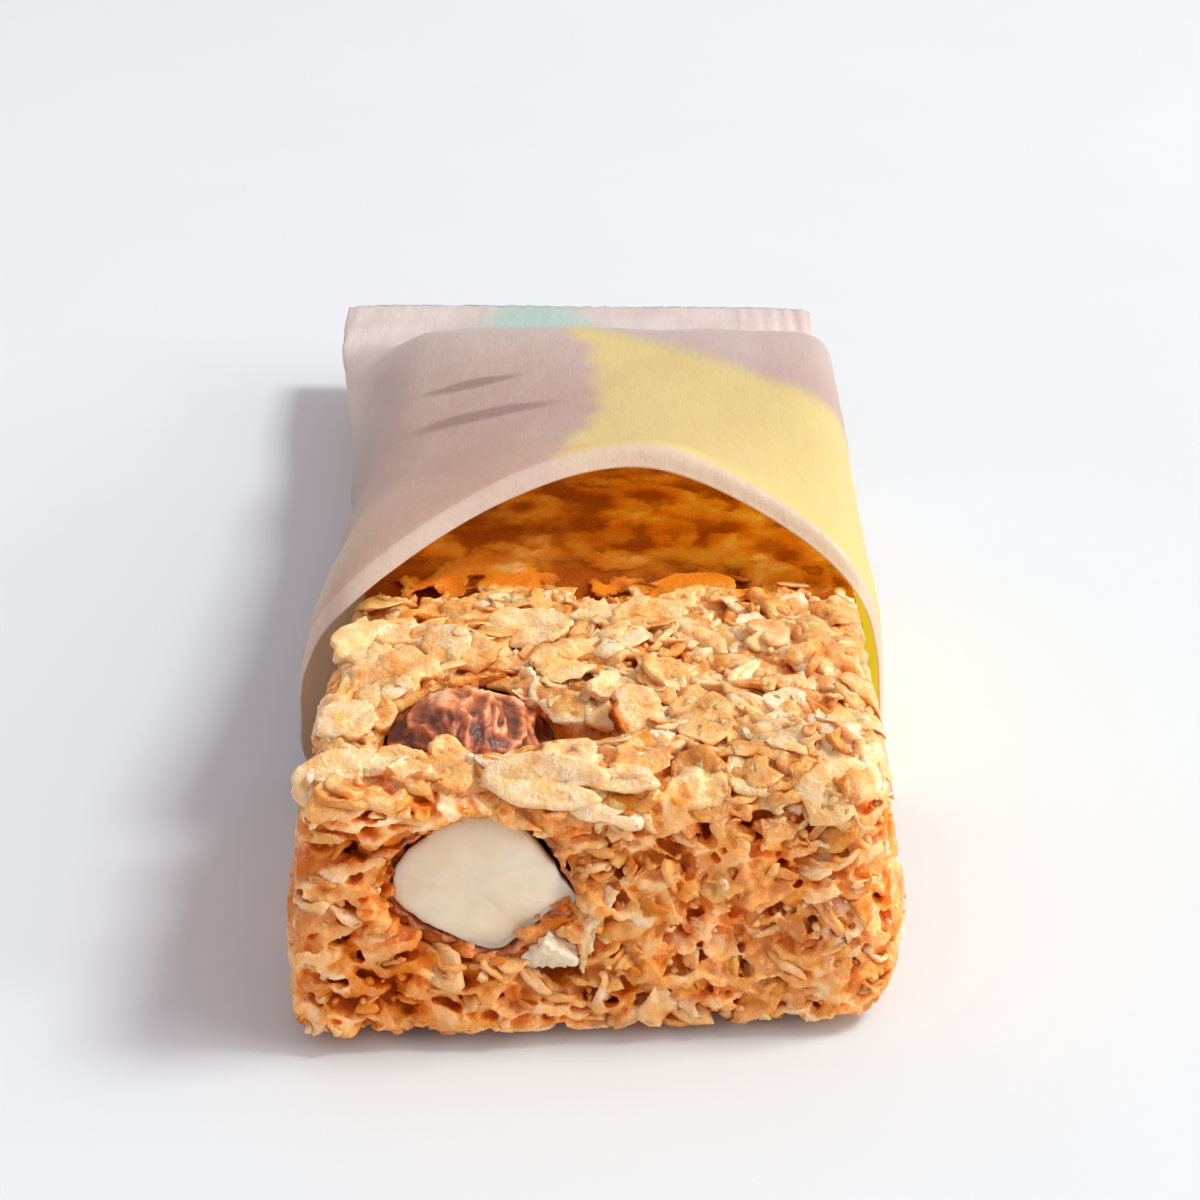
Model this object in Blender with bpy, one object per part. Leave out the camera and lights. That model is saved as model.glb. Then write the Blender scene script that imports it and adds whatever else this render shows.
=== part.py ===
"""An oat and almond bar, broken off at its front end, lying in its opened film wrapper.

Metres, +Z up. The bar lies along Y with its broken face towards -Y. The origin is on the
wrapper's underside, below the bar's middle line.
"""

import math
import random

import bmesh
import bpy
from mathutils import Matrix, Vector, noise

MM = 0.001

# ---------------------------------------------------------------- driving dimensions
BAR_LENGTH = 80 * MM
BAR_HEIGHT = 16.2 * MM
BAR_TOP_WIDTH = 35.6 * MM
BAR_BOTTOM_WIDTH = 38.0 * MM
BAR_EDGE_RADIUS = 2.3 * MM   # the long edges
END_EDGE_RADIUS = 0.9 * MM   # the edges of the broken face, which are crisp
FRONT_SKEW = 0.09            # how far the broken face leans back, for each unit to the right
FRONT_OVERHANG = 2.0 * MM    # how far its foot stands in front of its top
ORIGIN_FROM_FRONT = 58 * MM  # the origin's distance behind the broken face

FILM_WALL = 0.35 * MM        # thicker than real film, so that it is a sound solid
GAP = 0.3 * MM               # clear space between neighbouring solids
BAR_LIFT = FILM_WALL + GAP   # the bar's underside over the film below it
LIFT_RAMP = (19 * MM, 23 * MM)

EXPOSED_LENGTH = 25 * MM     # the bare stretch in front of the film
RELIEF_FADE = 5 * MM         # over which the surface calms down inside the film
EXPOSED_CELL = 1.55 * MM
WRAPPED_CELL = 4.4 * MM

# Compressed oat surface
LUMP_SIZE = 4.2 * MM
LUMP_HEIGHT = 0.5 * MM
WRAPPED_LUMP_HEIGHT = 0.2 * MM
STRATUM_WIDTH = 6 * MM       # layers of flakes seen edge-on in the broken face
STRATUM_HEIGHT = 1.7 * MM
STRATUM_DEPTH = 0.75 * MM
FLAKE_HALF_LENGTH = (3.0 * MM, 4.4 * MM)
FLAKE_HALF_WIDTH = (2.0 * MM, 3.0 * MM)
FLAKE_RISE = (0.45 * MM, 0.85 * MM)
FLAKES_ON_TOP = 34
FLAKES_ON_EACH_SIDE = 10
SIDE_FLAKE_SHARE = 0.55      # flakes on the sides are pressed in deeper
RELIEF_SEED = 12

# Whole flakes and hollows that stand out: centre (x, behind the front, z), half sizes, rise
LEDGE = ((-13.2, -0.6, 15.6), (5.6, 3.0, 1.5), 1.25)
BIG_FLAKE = ((-2.6, 1.6, 16.6), (4.4, 2.2, 1.4), 0.8)
RIGHT_CORNER_LUMP = ((13.0, 1.5, 15.6), (4.6, 3.0, 1.8), 0.7)
LEDGE_SHADOW = ((-14.0, -0.6, 12.4), (4.6, 3.0, 1.1), -0.9)
NUT_NEST = ((-8.3, 8.6, 16.6), (6.6, 5.0, 3.0), -1.5)
NUT_HOLLOW = ((-0.7, 7.6, 16.4), (2.9, 2.6, 3.0), -1.6)
LANDMARKS = (LEDGE, BIG_FLAKE, RIGHT_CORNER_LUMP, LEDGE_SHADOW, NUT_NEST, NUT_HOLLOW)

# Almonds
NUT_RIDGES = 7
NUT_RIDGE_DEPTH = 0.028
NUT_AROUND = 24
NUT_ALONG = 12
NUT_END_POWER = 0.52
NUT_BLUNTNESS = 0.16
NUT_LENS = 0.18

FRONT_NUT_WIDTH = 11.1 * MM
FRONT_NUT_THICKNESS = 8.7 * MM
FRONT_NUT_DEPTH = 6.2 * MM
FRONT_NUT_CENTRE = (-6.95 * MM, -0.75 * MM, 10.0 * MM)
FRONT_NUT_DIP = math.radians(12)
FRONT_NUT_ROLL = math.radians(9)

TOP_NUT_LENGTH = 19 * MM
TOP_NUT_WIDTH = 11.4 * MM
TOP_NUT_THICKNESS = 8.2 * MM
TOP_NUT_CENTRE = (-8.3 * MM, 13.5 * MM, 11.2 * MM)
TOP_NUT_DIP = math.radians(32)

CHIP_CENTRE = (-2.35 * MM, -0.6 * MM, 5.25 * MM)
CHIP_HALF = (1.45 * MM, 1.2 * MM, 1.3 * MM)

# Film wrapper: a tube opened at the front and sealed in a flat fin at the rear
MID_HEIGHT = 8.5 * MM
FIN_START = 105.5 * MM
FIN_END = 116.5 * MM
FIN_LEFT = -29.7 * MM
FIN_RIGHT = 19.0 * MM
CAVITY_END = 103.5 * MM
SLIT_HALF_HEIGHT = 0.25 * MM
FIN_CORE_HALF_HEIGHT = 0.05 * MM
FOOT_ROUNDING = 0.9 * MM
ROWS_PER_STATION = 3
POINTS_PER_KEY = 4


# ---------------------------------------------------------------- helpers
def clear_scene():
    for thing in list(bpy.data.objects):
        bpy.data.objects.remove(thing, do_unlink=True)


def behind(distance):
    """Y of a point that lies this far behind the middle of the broken face."""
    return distance - ORIGIN_FROM_FRONT


def clamp(value, low, high):
    return max(low, min(high, value))


def smooth_step(low, high, value):
    t = clamp((value - low) / (high - low), 0.0, 1.0)
    return t * t * (3 - 2 * t)


def make_material(name, colour, roughness):
    material = bpy.data.materials.new(name)
    material.use_nodes = True
    shader = material.node_tree.nodes["Principled BSDF"]
    shader.inputs["Base Color"].default_value = (*colour, 1.0)
    shader.inputs["Roughness"].default_value = roughness
    shader.inputs["Metallic"].default_value = 0.0
    return material


def make_object(name, bm, material, smooth_angle=math.radians(40)):
    """Turn a bmesh into a named object and free it."""
    bmesh.ops.recalc_face_normals(bm, faces=bm.faces)
    mesh = bpy.data.meshes.new(name)
    bm.to_mesh(mesh)
    bm.free()
    mesh.shade_smooth()
    mesh.set_sharp_from_angle(angle=smooth_angle)
    mesh.materials.append(material)
    thing = bpy.data.objects.new(name, mesh)
    bpy.context.scene.collection.objects.link(thing)
    return thing


def make_cutter(name, bm):
    """A shape that only cuts: it is never part of the object."""
    bmesh.ops.recalc_face_normals(bm, faces=bm.faces)
    mesh = bpy.data.meshes.new(name)
    bm.to_mesh(mesh)
    bm.free()
    cutter = bpy.data.objects.new(name, mesh)
    cutter.hide_render = True
    cutter.display_type = "WIRE"
    bpy.context.scene.collection.objects.link(cutter)
    return cutter


def cut_away(thing, cutter):
    modifier = thing.modifiers.new(cutter.name, "BOOLEAN")
    modifier.operation = "DIFFERENCE"
    modifier.solver = "EXACT"
    modifier.object = cutter


def bridge_rings(bm, rings):
    """Join rings of as many vertices each into a tube."""
    for near, far in zip(rings, rings[1:]):
        count = len(near)
        for i in range(count):
            j = (i + 1) % count
            bm.faces.new((near[i], near[j], far[j], far[i]))


def fan(bm, ring, centre):
    """Close a ring with triangles that meet in its centre."""
    hub = bm.verts.new(centre)
    for i, corner in enumerate(ring):
        bm.faces.new((corner, ring[(i + 1) % len(ring)], hub))


# ---------------------------------------------------------------- oat bar
def even_steps(start, end, cell):
    count = max(1, round((end - start) / cell))
    return [start + (end - start) * i / count for i in range(count)]


def bar_stations():
    """Distances behind the front: close together where the bar is bare, wide where it is hidden."""
    change = EXPOSED_LENGTH + RELIEF_FADE
    bare = even_steps(0.0, change, EXPOSED_CELL)
    return bare + even_steps(change, BAR_LENGTH, WRAPPED_CELL) + [BAR_LENGTH]


def box_shell(bm, xs, ys, zs):
    """The outer faces of a box that is divided at the given places along its three sides."""
    sizes = (len(xs), len(ys), len(zs))
    corners = {}

    def corner(i, j, k):
        if (i, j, k) not in corners:
            corners[i, j, k] = bm.verts.new((xs[i], ys[j], zs[k]))
        return corners[i, j, k]

    for axis in range(3):
        across, up = (a for a in range(3) if a != axis)
        for level in (0, sizes[axis] - 1):
            for i in range(sizes[across] - 1):
                for j in range(sizes[up] - 1):
                    face = []
                    for di, dj in ((0, 0), (1, 0), (1, 1), (0, 1)):
                        index = [0, 0, 0]
                        index[axis], index[across], index[up] = level, i + di, j + dj
                        face.append(corner(*index))
                    bm.faces.new(face)


def round_off(point):
    """Move a point of the box onto its rounded form, and give the outward direction there."""
    half = BAR_TOP_WIDTH / 2
    radii = (BAR_EDGE_RADIUS, END_EDGE_RADIUS, BAR_EDGE_RADIUS)
    limits = ((-half, half), (0.0, BAR_LENGTH), (0.0, BAR_HEIGHT))
    core = Vector([clamp(point[i], limits[i][0] + radii[i], limits[i][1] - radii[i])
                   for i in range(3)])
    outward = Vector([(point[i] - core[i]) / radii[i] for i in range(3)]).normalized()
    return Vector([core[i] + outward[i] * radii[i] for i in range(3)]), outward


def scatter_flakes():
    """Whole flakes lying flat on the top and the two sides: centre, normal, long way, sizes."""
    rng = random.Random(RELIEF_SEED)
    half = BAR_TOP_WIDTH / 2
    faces = [(Vector((0, 0, 1)), FLAKES_ON_TOP)]
    faces += [(Vector((side, 0, 0)), FLAKES_ON_EACH_SIDE) for side in (-1, 1)]
    flakes = []
    for normal, count in faces:
        for _ in range(count):
            along = rng.uniform(0, EXPOSED_LENGTH + RELIEF_FADE)
            if normal.z:
                centre = Vector((rng.uniform(-half, half), along, BAR_HEIGHT))
            else:
                centre = Vector((normal.x * half, along, rng.uniform(2 * MM, BAR_HEIGHT)))
            turn = Matrix.Rotation(rng.uniform(0, math.pi), 3, normal)
            long_way = turn @ Vector((0, 1, 0))
            flakes.append({
                "centre": centre,
                "long_way": long_way,
                "wide_way": normal.cross(long_way),
                "normal": normal,
                "half_length": rng.uniform(*FLAKE_HALF_LENGTH),
                "half_width": rng.uniform(*FLAKE_HALF_WIDTH),
                "rise": rng.uniform(*FLAKE_RISE) * (1.0 if normal.z else SIDE_FLAKE_SHARE),
            })
    return flakes


def flake_rise(point, outward, flakes):
    """Height of the highest flake over this point: flat tops with steep edges."""
    best = 0.0
    for flake in flakes:
        facing = outward.dot(flake["normal"])
        if facing < 0.5:
            continue
        offset = point - flake["centre"]
        along = offset.dot(flake["long_way"]) / flake["half_length"]
        across = offset.dot(flake["wide_way"]) / flake["half_width"]
        inside = 1.0 - smooth_step(0.75, 1.1, math.hypot(along, across))
        best = max(best, inside * flake["rise"] * facing)
    return best


def landmark_rise(point):
    """The ledge, lumps and hollows that are placed one by one."""
    total = 0.0
    for centre, half_sizes, rise in LANDMARKS:
        offset = [(point[i] / MM - centre[i]) / half_sizes[i] for i in range(3)]
        distance = math.sqrt(sum(part * part for part in offset))
        total += rise * MM * (1.0 - smooth_step(0.6, 1.15, distance))
    return total


def bar_relief(point, outward, flakes):
    """How far the surface stands out of, or sinks into, the smooth bar."""
    bare_end = EXPOSED_LENGTH
    bare = 1.0 - smooth_step(bare_end - RELIEF_FADE, bare_end, point.y)
    lump = noise.fractal(point / LUMP_SIZE, 0.9, 2.0, 2)
    hidden = clamp(lump, -1.0, 1.0) * WRAPPED_LUMP_HEIGHT
    if outward.z < -0.5:
        return hidden * 0.5
    shown = lump * LUMP_HEIGHT + flake_rise(point, outward, flakes) + landmark_rise(point)
    if outward.y < -0.5:
        place = Vector((point.x / STRATUM_WIDTH, 7.3, point.z / STRATUM_HEIGHT))
        shown += noise.noise(place) * STRATUM_DEPTH
    return hidden + (shown - hidden) * bare


def shape_bar(bm):
    """Round, roughen, widen and place the box."""
    flakes = scatter_flakes()
    for vert in bm.verts:
        point, outward = round_off(vert.co)
        point = point + outward * bar_relief(point, outward, flakes)
        spread = BAR_BOTTOM_WIDTH / BAR_TOP_WIDTH - 1.0
        below_top = 1.0 - clamp(point.z / BAR_HEIGHT, 0.0, 1.0)
        point.x *= 1.0 + spread * below_top
        underside = BAR_LIFT * smooth_step(*LIFT_RAMP, point.y)
        point.z = max(point.z, underside)
        lean = FRONT_SKEW * point.x - FRONT_OVERHANG * below_top
        point.y += lean * (1.0 - point.y / BAR_LENGTH)
        vert.co = (point.x, behind(point.y), point.z)


def make_bar():
    bm = bmesh.new()
    half = BAR_TOP_WIDTH / 2
    xs = even_steps(-half, half, EXPOSED_CELL) + [half]
    zs = even_steps(0.0, BAR_HEIGHT, EXPOSED_CELL) + [BAR_HEIGHT]
    box_shell(bm, xs, bar_stations(), zs)
    shape_bar(bm)
    oat = make_material("oat_bar", (0.62, 0.33, 0.13), 0.5)
    return make_object("bar", bm, oat)


# ---------------------------------------------------------------- almonds
def nut_radius(station):
    """Radius of an almond along its length, from -1 at the tip to 1 at the blunt end."""
    return (1.0 - station * station) ** NUT_END_POWER * (1.0 + NUT_BLUNTNESS * station)


def nut_ring(bm, station, half_sizes, extra_length=0.0):
    """One section of an almond: a lens with shallow ridges, across the Y axis."""
    half_width, half_length, half_thickness = half_sizes
    radius = nut_radius(station)
    ring = []
    for i in range(NUT_AROUND):
        angle = 2 * math.pi * i / NUT_AROUND
        ridge = 1.0 + NUT_RIDGE_DEPTH * math.cos(NUT_RIDGES * angle)
        lens = 1.0 - NUT_LENS * math.cos(angle) ** 4
        x = half_width * radius * ridge * math.cos(angle)
        z = half_thickness * radius * ridge * lens * math.sin(angle)
        ring.append(bm.verts.new((x, station * half_length + extra_length, z)))
    return ring


def whole_nut(half_sizes):
    """A whole almond along Y, its blunt end at -Y."""
    bm = bmesh.new()
    limit = math.pi / 2 * (1 - 0.5 / NUT_ALONG)
    stations = [math.sin(limit * (2 * i / (NUT_ALONG - 1) - 1)) for i in range(NUT_ALONG)]
    rings = [nut_ring(bm, station, half_sizes) for station in stations]
    bridge_rings(bm, rings)
    fan(bm, rings[0], (0, -half_sizes[1], 0))
    fan(bm, rings[-1], (0, half_sizes[1], 0))
    bmesh.ops.rotate(bm, matrix=Matrix.Rotation(math.pi, 3, "Z"), verts=bm.verts)
    return bm


def cut_nut(half_sizes, reach=0.0):
    """The blunt half of an almond, with its flat cut towards -Y, pushed out by reach."""
    bm = bmesh.new()
    count = NUT_ALONG // 2 + 1
    limit = math.pi / 2 * (1 - 0.5 / NUT_ALONG)
    stations = [math.sin(limit * i / (count - 1)) for i in range(count)]
    rings = [nut_ring(bm, station, half_sizes) for station in stations]
    if reach:
        rings.insert(0, nut_ring(bm, 0.0, half_sizes, -reach))
    bridge_rings(bm, rings)
    fan(bm, rings[0], (0, -reach, 0))
    fan(bm, rings[-1], (0, half_sizes[1], 0))
    return bm


def chip(half_sizes, reach=0.0):
    """A small broken bit of kernel with a few blunt corners."""
    bm = bmesh.new()
    bmesh.ops.create_icosphere(bm, subdivisions=2, radius=1.0)
    for vert in bm.verts:
        corner = 1.0 + 0.16 * noise.noise(vert.co * 1.3 + Vector((4.1, 0.6, 2.2)))
        x, y, z = (vert.co[i] * half_sizes[i] * corner for i in range(3))
        vert.co = (x, y - (reach if y < 0 else 0.0), z)
    return bm


def placed(bm, centre, dip=0.0, roll=0.0):
    """Turn a shape about its own middle and set it down behind the front face."""
    turn = Matrix.Rotation(-dip, 4, "X") @ Matrix.Rotation(roll, 4, "Y")
    place = Matrix.Translation((centre[0], behind(centre[1]), centre[2]))
    bmesh.ops.transform(bm, matrix=place @ turn, verts=bm.verts)
    return bm


def grown(half_sizes, margin):
    return tuple(size + margin for size in half_sizes)


def make_almonds(bar):
    """Two almonds and a chip, each in a pocket of the bar that is open to the outside."""
    skin = make_material("almond_skin", (0.29, 0.10, 0.045), 0.55)
    kernel = make_material("almond_kernel", (0.80, 0.66, 0.50), 0.5)
    margin = 1.25 * GAP

    front = (FRONT_NUT_WIDTH / 2, FRONT_NUT_DEPTH, FRONT_NUT_THICKNESS / 2)
    lean = {"centre": FRONT_NUT_CENTRE, "dip": FRONT_NUT_DIP, "roll": FRONT_NUT_ROLL}
    make_object("almond_front", placed(cut_nut(front), **lean), kernel)
    pocket = placed(cut_nut(grown(front, margin), reach=5 * MM), **lean)
    cut_away(bar, make_cutter("pocket_front", pocket))

    top = (TOP_NUT_WIDTH / 2, TOP_NUT_LENGTH / 2, TOP_NUT_THICKNESS / 2)
    lean = {"centre": TOP_NUT_CENTRE, "dip": TOP_NUT_DIP}
    make_object("almond_top", placed(whole_nut(top), **lean), skin)
    pocket = placed(whole_nut(grown(top, margin)), **lean)
    cut_away(bar, make_cutter("pocket_top", pocket))

    make_object("almond_chip", placed(chip(CHIP_HALF), CHIP_CENTRE), kernel)
    pocket = placed(chip(grown(CHIP_HALF, margin), reach=4 * MM), CHIP_CENTRE)
    cut_away(bar, make_cutter("pocket_chip", pocket))


# ---------------------------------------------------------------- film wrapper
def film_stations():
    """The inside of the film at a few distances behind the front, as (x, y, z) in millimetres.

    Each station runs from the left foot up the loose left side, over the arch, down the snug
    right side to the right foot, and back along the floor.
    """
    floor = FILM_WALL / MM
    middle = MID_HEIGHT / MM
    low = floor + FOOT_ROUNDING / MM
    inset = FOOT_ROUNDING / MM
    mouth = [(-22.6, 31.0, low), (-22.2, 27.8, middle), (-18.8, 24.6, 16.9), (-8.0, 31.0, 22.8),
             (2.0, 34.3, 24.6), (11.6, 32.0, 21.7), (18.1, 28.6, 16.8), (19.6, 28.6, middle),
             (19.5, 29.0, low), (19.5 - inset, 29.0, floor), (0.0, 28.0, floor),
             (-22.6 + inset, 31.0, floor)]
    stations = [mouth]
    # distance behind the front, left foot, left crease, shoulders, arch top, right side
    for y, foot, crease, shoulder, top, side in (
            (42.0, -22.0, -22.1, 16.9, 22.6, 19.6),
            (56.0, -21.8, -22.0, 16.8, 20.3, 19.4),
            (70.0, -22.0, -23.5, 16.8, 18.8, 19.3),
            (82.0, -21.2, -25.2, 16.8, 17.9, 19.2)):
        rise = top - shoulder
        stations.append([
            (foot, y, low), (crease, y, middle), (-18.7, y, shoulder),
            (-9.0, y, shoulder + 0.8 * rise), (1.0, y, top), (11.0, y, shoulder + 0.75 * rise),
            (18.0, y, shoulder), (side, y, middle), (side, y, low),
            (side - inset, y, floor), (0.0, y, floor), (foot + inset, y, floor)])
    stations.append(pinched_station(93.0, -27.2, 19.1, 4.7))
    stations.append(pinched_station(CAVITY_END / MM, -28.7, 18.8, SLIT_HALF_HEIGHT / MM))
    return stations


def pinched_station(y, left, right, half_height):
    """A section behind the bar, where top and bottom run together to the side creases."""
    middle = MID_HEIGHT / MM

    def at(share, rise):
        return (left + share * (right - left), y, middle + rise * half_height)

    return [at(0.10, -0.75), at(0.0, 0.0), at(0.16, 0.9), at(0.39, 1.0), at(0.61, 1.0),
            at(0.82, 1.0), at(0.95, 0.7), at(1.0, 0.0), at(0.97, -0.6), at(0.90, -0.9),
            at(0.55, -1.0), at(0.20, -1.0)]


def spline_point(before, start, end, after, t):
    """A point between start and end on a centripetal Catmull-Rom curve, which never overshoots."""
    step = math.sqrt((end - start).length)
    step_in = math.sqrt((start - before).length)
    step_out = math.sqrt((after - end).length)
    chord = (end - start) / step
    tangent = (start - before) / step_in - (end - before) / (step_in + step) + chord
    leaving = (after - end) / step_out - (after - start) / (step_out + step) + chord
    near = 2 * t ** 3 - 3 * t ** 2 + 1
    rise = (t ** 3 - 2 * t ** 2 + t) * step
    fall = (t ** 3 - t ** 2) * step
    return start * near + end * (1 - near) + tangent * rise + leaving * fall


def refine_open(points, steps):
    """Points on a smooth curve through an open row of points."""
    padded = [points[0] * 2 - points[1]] + points + [points[-1] * 2 - points[-2]]
    result = []
    for i in range(len(points) - 1):
        result += [spline_point(*padded[i:i + 4], step / steps) for step in range(steps)]
    return result + [points[-1]]


def refine_loop(points, steps):
    """Points on a smooth curve through a closed ring of points."""
    count = len(points)
    result = []
    for i in range(count):
        four = [points[(i + shift) % count] for shift in (-1, 0, 1, 2)]
        result += [spline_point(*four, step / steps) for step in range(steps)]
    return result


def film_inside():
    """Rows of points on the inside of the film, from the mouth to the rear of the cavity."""
    stations = [[Vector(point) * MM for point in station] for station in film_stations()]
    lines = [refine_open(list(line), ROWS_PER_STATION) for line in zip(*stations)]
    rows = []
    for keys in zip(*lines):
        floor = min(key.z for key in keys)
        loop = refine_loop(list(keys), POINTS_PER_KEY)
        rows.append([Vector((p.x, behind(p.y), max(p.z, floor))) for p in loop])
    return rows


def fin_rows(slit_row):
    """The seal behind the cavity: the last row pressed together and carried back."""
    rows = []
    slit_left = min(point.x for point in slit_row)
    slit_right = max(point.x for point in slit_row)
    for y in (FIN_START, (FIN_START + FIN_END) / 2, FIN_END):
        row = []
        for point in slit_row:
            share = (point.x - slit_left) / (slit_right - slit_left)
            x = FIN_LEFT + (FIN_RIGHT - FIN_LEFT) * share
            squeeze = FIN_CORE_HALF_HEIGHT / SLIT_HALF_HEIGHT
            row.append(Vector((x, behind(y), MID_HEIGHT + (point.z - MID_HEIGHT) * squeeze)))
        rows.append(row)
    return rows


def outward_of(row, index):
    """Direction square to a row of points, away from its inside."""
    step = row[(index + 1) % len(row)] - row[index - 1]
    return Vector((-step.z, 0.0, step.x)).normalized()


def grow_row(row):
    """The outer face of the film: the inner one moved out by the wall."""
    outer = []
    for index, point in enumerate(row):
        moved = point + outward_of(row, index) * FILM_WALL
        outer.append(Vector((moved.x, moved.y, max(moved.z, 0.0))))
    return outer


def make_wrapper():
    inside = film_inside()
    outside = [grow_row(row) for row in inside + fin_rows(inside[-1])]
    bm = bmesh.new()
    inner_rings = [[bm.verts.new(point) for point in row] for row in inside]
    outer_rings = [[bm.verts.new(point) for point in row] for row in outside]
    bridge_rings(bm, list(reversed(inner_rings)) + outer_rings)
    middle_x = (FIN_LEFT + FIN_RIGHT) / 2
    fan(bm, inner_rings[-1], (middle_x, behind(CAVITY_END) + GAP, MID_HEIGHT))
    fan(bm, outer_rings[-1], (middle_x, behind(FIN_END), MID_HEIGHT))
    film = make_material("film", (0.62, 0.47, 0.38), 0.4)
    return make_object("wrapper", bm, film)


def main():
    clear_scene()
    bar = make_bar()
    make_almonds(bar)
    make_wrapper()


main()
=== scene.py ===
# %% [markdown]
# # A pressed oat and almond bar in its opened film
# The part is one bar of rolled oats, glued with syrup and pressed flat, broken off at its front
# end and still half inside its wrapper. Three things make it look real: flakes that are separate
# thin things lying in layers, a glaze that gathers in the hollows, and a film so thin that light
# comes through it. Everything is worked in millimetres, which suits the size of a flake, and a
# finished mesh is scaled down to metres at the very end.

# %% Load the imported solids
import math
import random

import bmesh
import bpy
import numpy as np
from mathutils import Euler, Matrix, Vector, bvhtree, noise


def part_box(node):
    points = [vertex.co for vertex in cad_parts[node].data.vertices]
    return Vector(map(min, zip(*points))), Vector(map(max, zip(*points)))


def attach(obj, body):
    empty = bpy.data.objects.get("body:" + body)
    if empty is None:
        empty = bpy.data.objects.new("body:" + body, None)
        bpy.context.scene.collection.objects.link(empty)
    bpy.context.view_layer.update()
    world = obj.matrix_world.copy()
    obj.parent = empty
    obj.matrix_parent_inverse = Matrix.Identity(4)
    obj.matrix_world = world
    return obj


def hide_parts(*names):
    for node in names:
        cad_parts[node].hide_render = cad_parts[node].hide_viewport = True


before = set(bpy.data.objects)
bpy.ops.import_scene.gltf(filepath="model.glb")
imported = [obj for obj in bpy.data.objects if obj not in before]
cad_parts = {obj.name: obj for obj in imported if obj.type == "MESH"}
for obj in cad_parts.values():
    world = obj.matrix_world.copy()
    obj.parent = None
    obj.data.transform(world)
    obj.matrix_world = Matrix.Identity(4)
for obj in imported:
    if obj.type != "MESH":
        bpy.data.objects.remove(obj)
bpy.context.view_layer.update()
ROOT = "root"
scene = bpy.context.scene
print("solids:", ", ".join(sorted(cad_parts)))

# %% [markdown]
# ## Millimetres
# A solid's box gives every position, so the numbers below are only sizes of things. The broken
# front face stands 58 mm in front of the origin, and leans back a little to the right.

# %% Box of the bar in millimetres
def box_mm(node):
    """Lowest and highest corner of a solid, in millimetres."""
    low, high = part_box(node)
    return Vector(low) * 1000, Vector(high) * 1000


bar_low, bar_high = box_mm("bar")
film_low, film_high = box_mm("wrapper")
FRONT = bar_low.y + 3.6            # where the middle of the broken face lies
print("bar", [round(v, 1) for v in bar_high - bar_low], "front face near y =", round(FRONT, 1))


def behind_front(y):
    """Distance behind the broken face."""
    return y - FRONT


def smooth_step(low, high, value):
    t = np.clip((value - low) / (high - low), 0.0, 1.0)
    return t * t * (3 - 2 * t)


# %% [markdown]
# ## Camera, floor and light
# The bar is seen end-on from a little above with a long lens, so its sides stay nearly parallel.
# The light is a white room: an even pale sky fills every shadow, and one big soft window on the
# right, high up, gives the shadow on the left and the sparkle on the glaze.

# %% Camera
camera_data = bpy.data.cameras.new("camera")
camera_data.lens = 70.5
camera_data.sensor_width = 36.0
camera_data.clip_start = 0.01
camera_data.clip_end = 20.0
camera = bpy.data.objects.new("camera", camera_data)
camera.location = (0.00384, -0.17949, 0.08564)
camera.rotation_euler = (math.radians(65), 0.0, math.radians(1.68))
scene.collection.objects.link(camera)
scene.camera = camera

# %% Light
SKY_STRENGTH = 0.56
WINDOW_WATTS = 26.0
WALL_WATTS = 8.8
REFLECTOR_WATTS = 2.5
world = bpy.data.worlds.new("white_room")
world.use_nodes = True
world.node_tree.nodes["Background"].inputs["Color"].default_value = (0.985, 0.925, 1.0, 1.0)
world.node_tree.nodes["Background"].inputs["Strength"].default_value = SKY_STRENGTH
scene.world = world



def add_window(name, width, watts, colour, place_at):
    """A square soft light that looks at the bar."""
    data = bpy.data.lights.new(name, "AREA")
    data.shape = "SQUARE"
    data.size = width
    data.energy = watts
    data.color = colour
    light = bpy.data.objects.new(name, data)
    light.location = place_at
    light.rotation_euler = (Vector((0, -0.02, 0)) - light.location).to_track_quat("-Z", "Y").to_euler()
    scene.collection.objects.link(light)


add_window("window", 0.55, WINDOW_WATTS, (0.945, 1.0, 0.965), (1.3, 0.20, 1.66))
add_window("bright_wall", 1.5, WALL_WATTS, (0.96, 1.0, 0.97), (1.35, 0.04, 1.0))
add_window("reflector", 0.30, REFLECTOR_WATTS, (1.0, 0.99, 0.97), (0.93, -0.36, 0.32))
scene.view_settings.view_transform = "Standard"


# %% Node helpers
def place(tree, kind, inputs=None, **settings):
    """Add a node, choose its options, and fill its inputs with values or with other sockets."""
    node = tree.nodes.new(kind)
    for option, value in settings.items():
        setattr(node, option, value)
    for socket, value in (inputs or {}).items():
        target = node.inputs[socket]
        if isinstance(value, bpy.types.NodeSocket):
            tree.links.new(value, target)
        else:
            target.default_value = value
    return node


def calculate(tree, operation, first, second=0.0, third=0.0, clamp=False):
    """One step of arithmetic; returns its result socket."""
    kind = "ShaderNodeMath"
    node = place(tree, kind, {0: first, 1: second, 2: third}, operation=operation)
    node.use_clamp = clamp
    return node.outputs[0]


def vector_math(tree, operation, first, second=None, scale=None):
    node = place(tree, "ShaderNodeVectorMath", {0: first}, operation=operation)
    if second is not None:
        if isinstance(second, bpy.types.NodeSocket):
            tree.links.new(second, node.inputs[1])
        else:
            node.inputs[1].default_value = second
    if scale is not None:
        if isinstance(scale, bpy.types.NodeSocket):
            tree.links.new(scale, node.inputs["Scale"])
        else:
            node.inputs["Scale"].default_value = scale
    return node.outputs["Value" if operation in ("LENGTH", "DOT_PRODUCT", "DISTANCE") else "Vector"]


def remap(tree, value, low, high, to_low=0.0, to_high=1.0, smooth=True):
    """Turn one range into another, clamped."""
    node = place(tree, "ShaderNodeMapRange", {"Value": value, "From Min": low, "From Max": high,
                                              "To Min": to_low, "To Max": to_high},
                 interpolation_type="SMOOTHSTEP" if smooth else "LINEAR")
    return node.outputs["Result"]


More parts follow.
